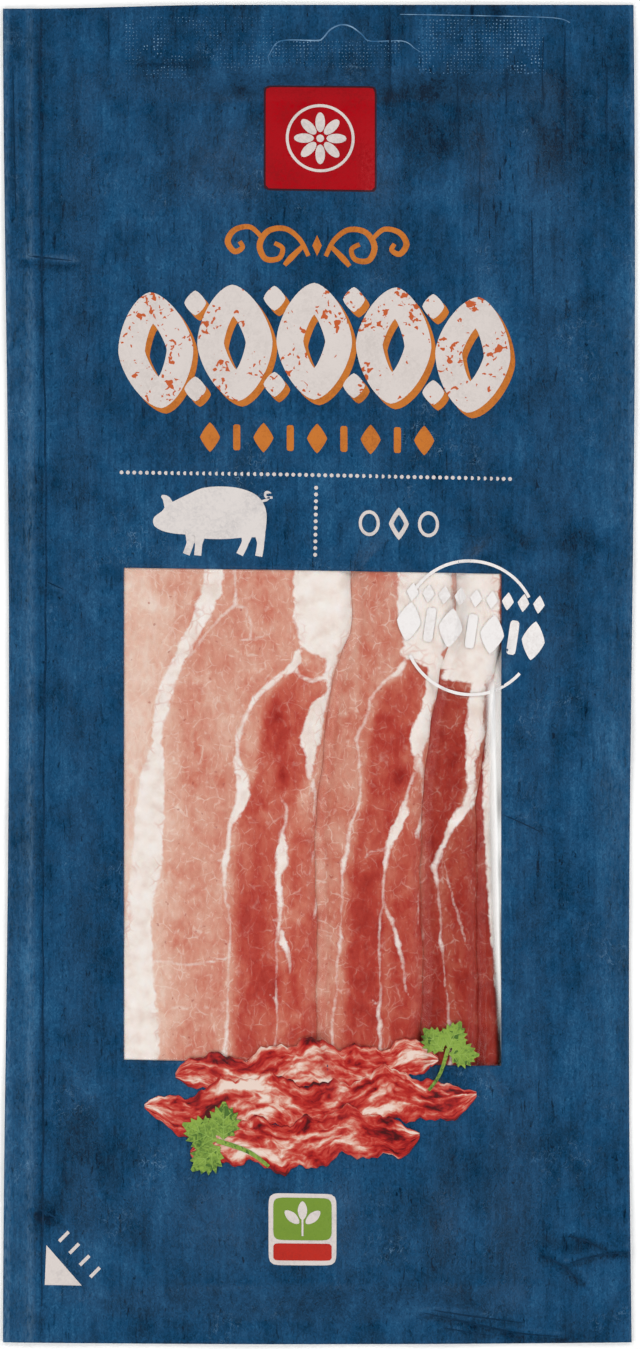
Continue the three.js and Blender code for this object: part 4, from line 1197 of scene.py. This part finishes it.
# A grid of pips with bare patches of 8 mm in it, each pip a little out of line, and smaller near
# a patch
waffle, add, given = node_group(
    "sealing_bar_waffle", Film="Object", Centre="Vector", Width="Float", Length="Float",
    Columns="Int", Rows="Int", Bare_share="Float", Seed="Float", Material="Material")
grid = add("GeometryNodeMeshGrid",
           *(given[name] for name in ("Width", "Length", "Columns", "Rows")))
placed = add("GeometryNodeTransform", grid, given["Centre"])
patches = add("ShaderNodeTexNoise", W=given["Seed"], Scale=130.0, Detail=3.0, Roughness=0.7,
              noise_dimensions="4D")
bare = add("FunctionNodeCompare", patches, given["Bare share"], operation="LESS_THAN")
kept = add("GeometryNodeDeleteGeometry", placed, bare)
shifts = add("ShaderNodeTexNoise", Scale=1900.0, Detail=0.0, out="Color")
shifts = add("ShaderNodeVectorMath", shifts, (0.5, 0.5, 0.5), operation="SUBTRACT")
jitter = add("ShaderNodeVectorMath", shifts, (PIP_JITTER * MM, PIP_JITTER * MM, 0.0),
             operation="MULTIPLY")
kept = add("GeometryNodeSetPosition", kept, Offset=jitter)
size = add("ShaderNodeMapRange", patches, given["Bare share"], 0.72, 0.35, 1.3)
realize(add, drop_on_film(add, kept, given["Film"], 0.01 * MM),
        add("GeometryNodeMeshIcoSphere", PIP_RADIUS * MM, 1),
        add("ShaderNodeCombineXYZ", size, size, PIP_FLATNESS), given["Material"])

for name, (x, y), width, length, bare, seed in (
        ("waffle_right", (34.0, 131.8), 25.9, 11.1, 0.38, 1.0),
        ("waffle_slot", (3.5, 130.2), 26.6, 5.2, 0.42, 2.0),
        ("waffle_left", (-25.0, 131.6), 31.0, 12.6, 0.5, 3.0)):
    grow(name, waffle, "printed_film", Film=printed_web, Centre=[x * MM, y * MM, ABOVE_PACK * MM],
         Width=width * MM, Length=length * MM, Columns=round(width / PIP_PITCH) + 1,
         Rows=round(length / PIP_PITCH) + 1, Bare_share=bare, Seed=seed, Material=glinting_pressed_film)

slot_cut = [(-10.0, 127.6), (-10.6, 129.2), (-10.4, 130.2), (-8.0, 133.0), (-0.6, 133.1),
            (0.8, 133.6), (2.4, 135.4), (4.6, 136.4), (6.8, 136.0), (9.0, 134.4), (10.8, 133.0),
            (17.6, 133.0), (20.2, 131.4), (21.6, 130.6)]
seal_line = [(17.0, 138.6), (34.0, 138.3), (49.0, 137.9), (52.8, 136.9)]
lay_print("slot_cut", [stroke(curve(slot_cut), 0.12, 0.26, 0.3, 0.24, 0.1)], glinting_pressed_film,
          "printed_film")
lay_print("seal_line", [stroke(curve(seal_line), 0.12, 0.2, 0.16)], glinting_pressed_film, "printed_film")
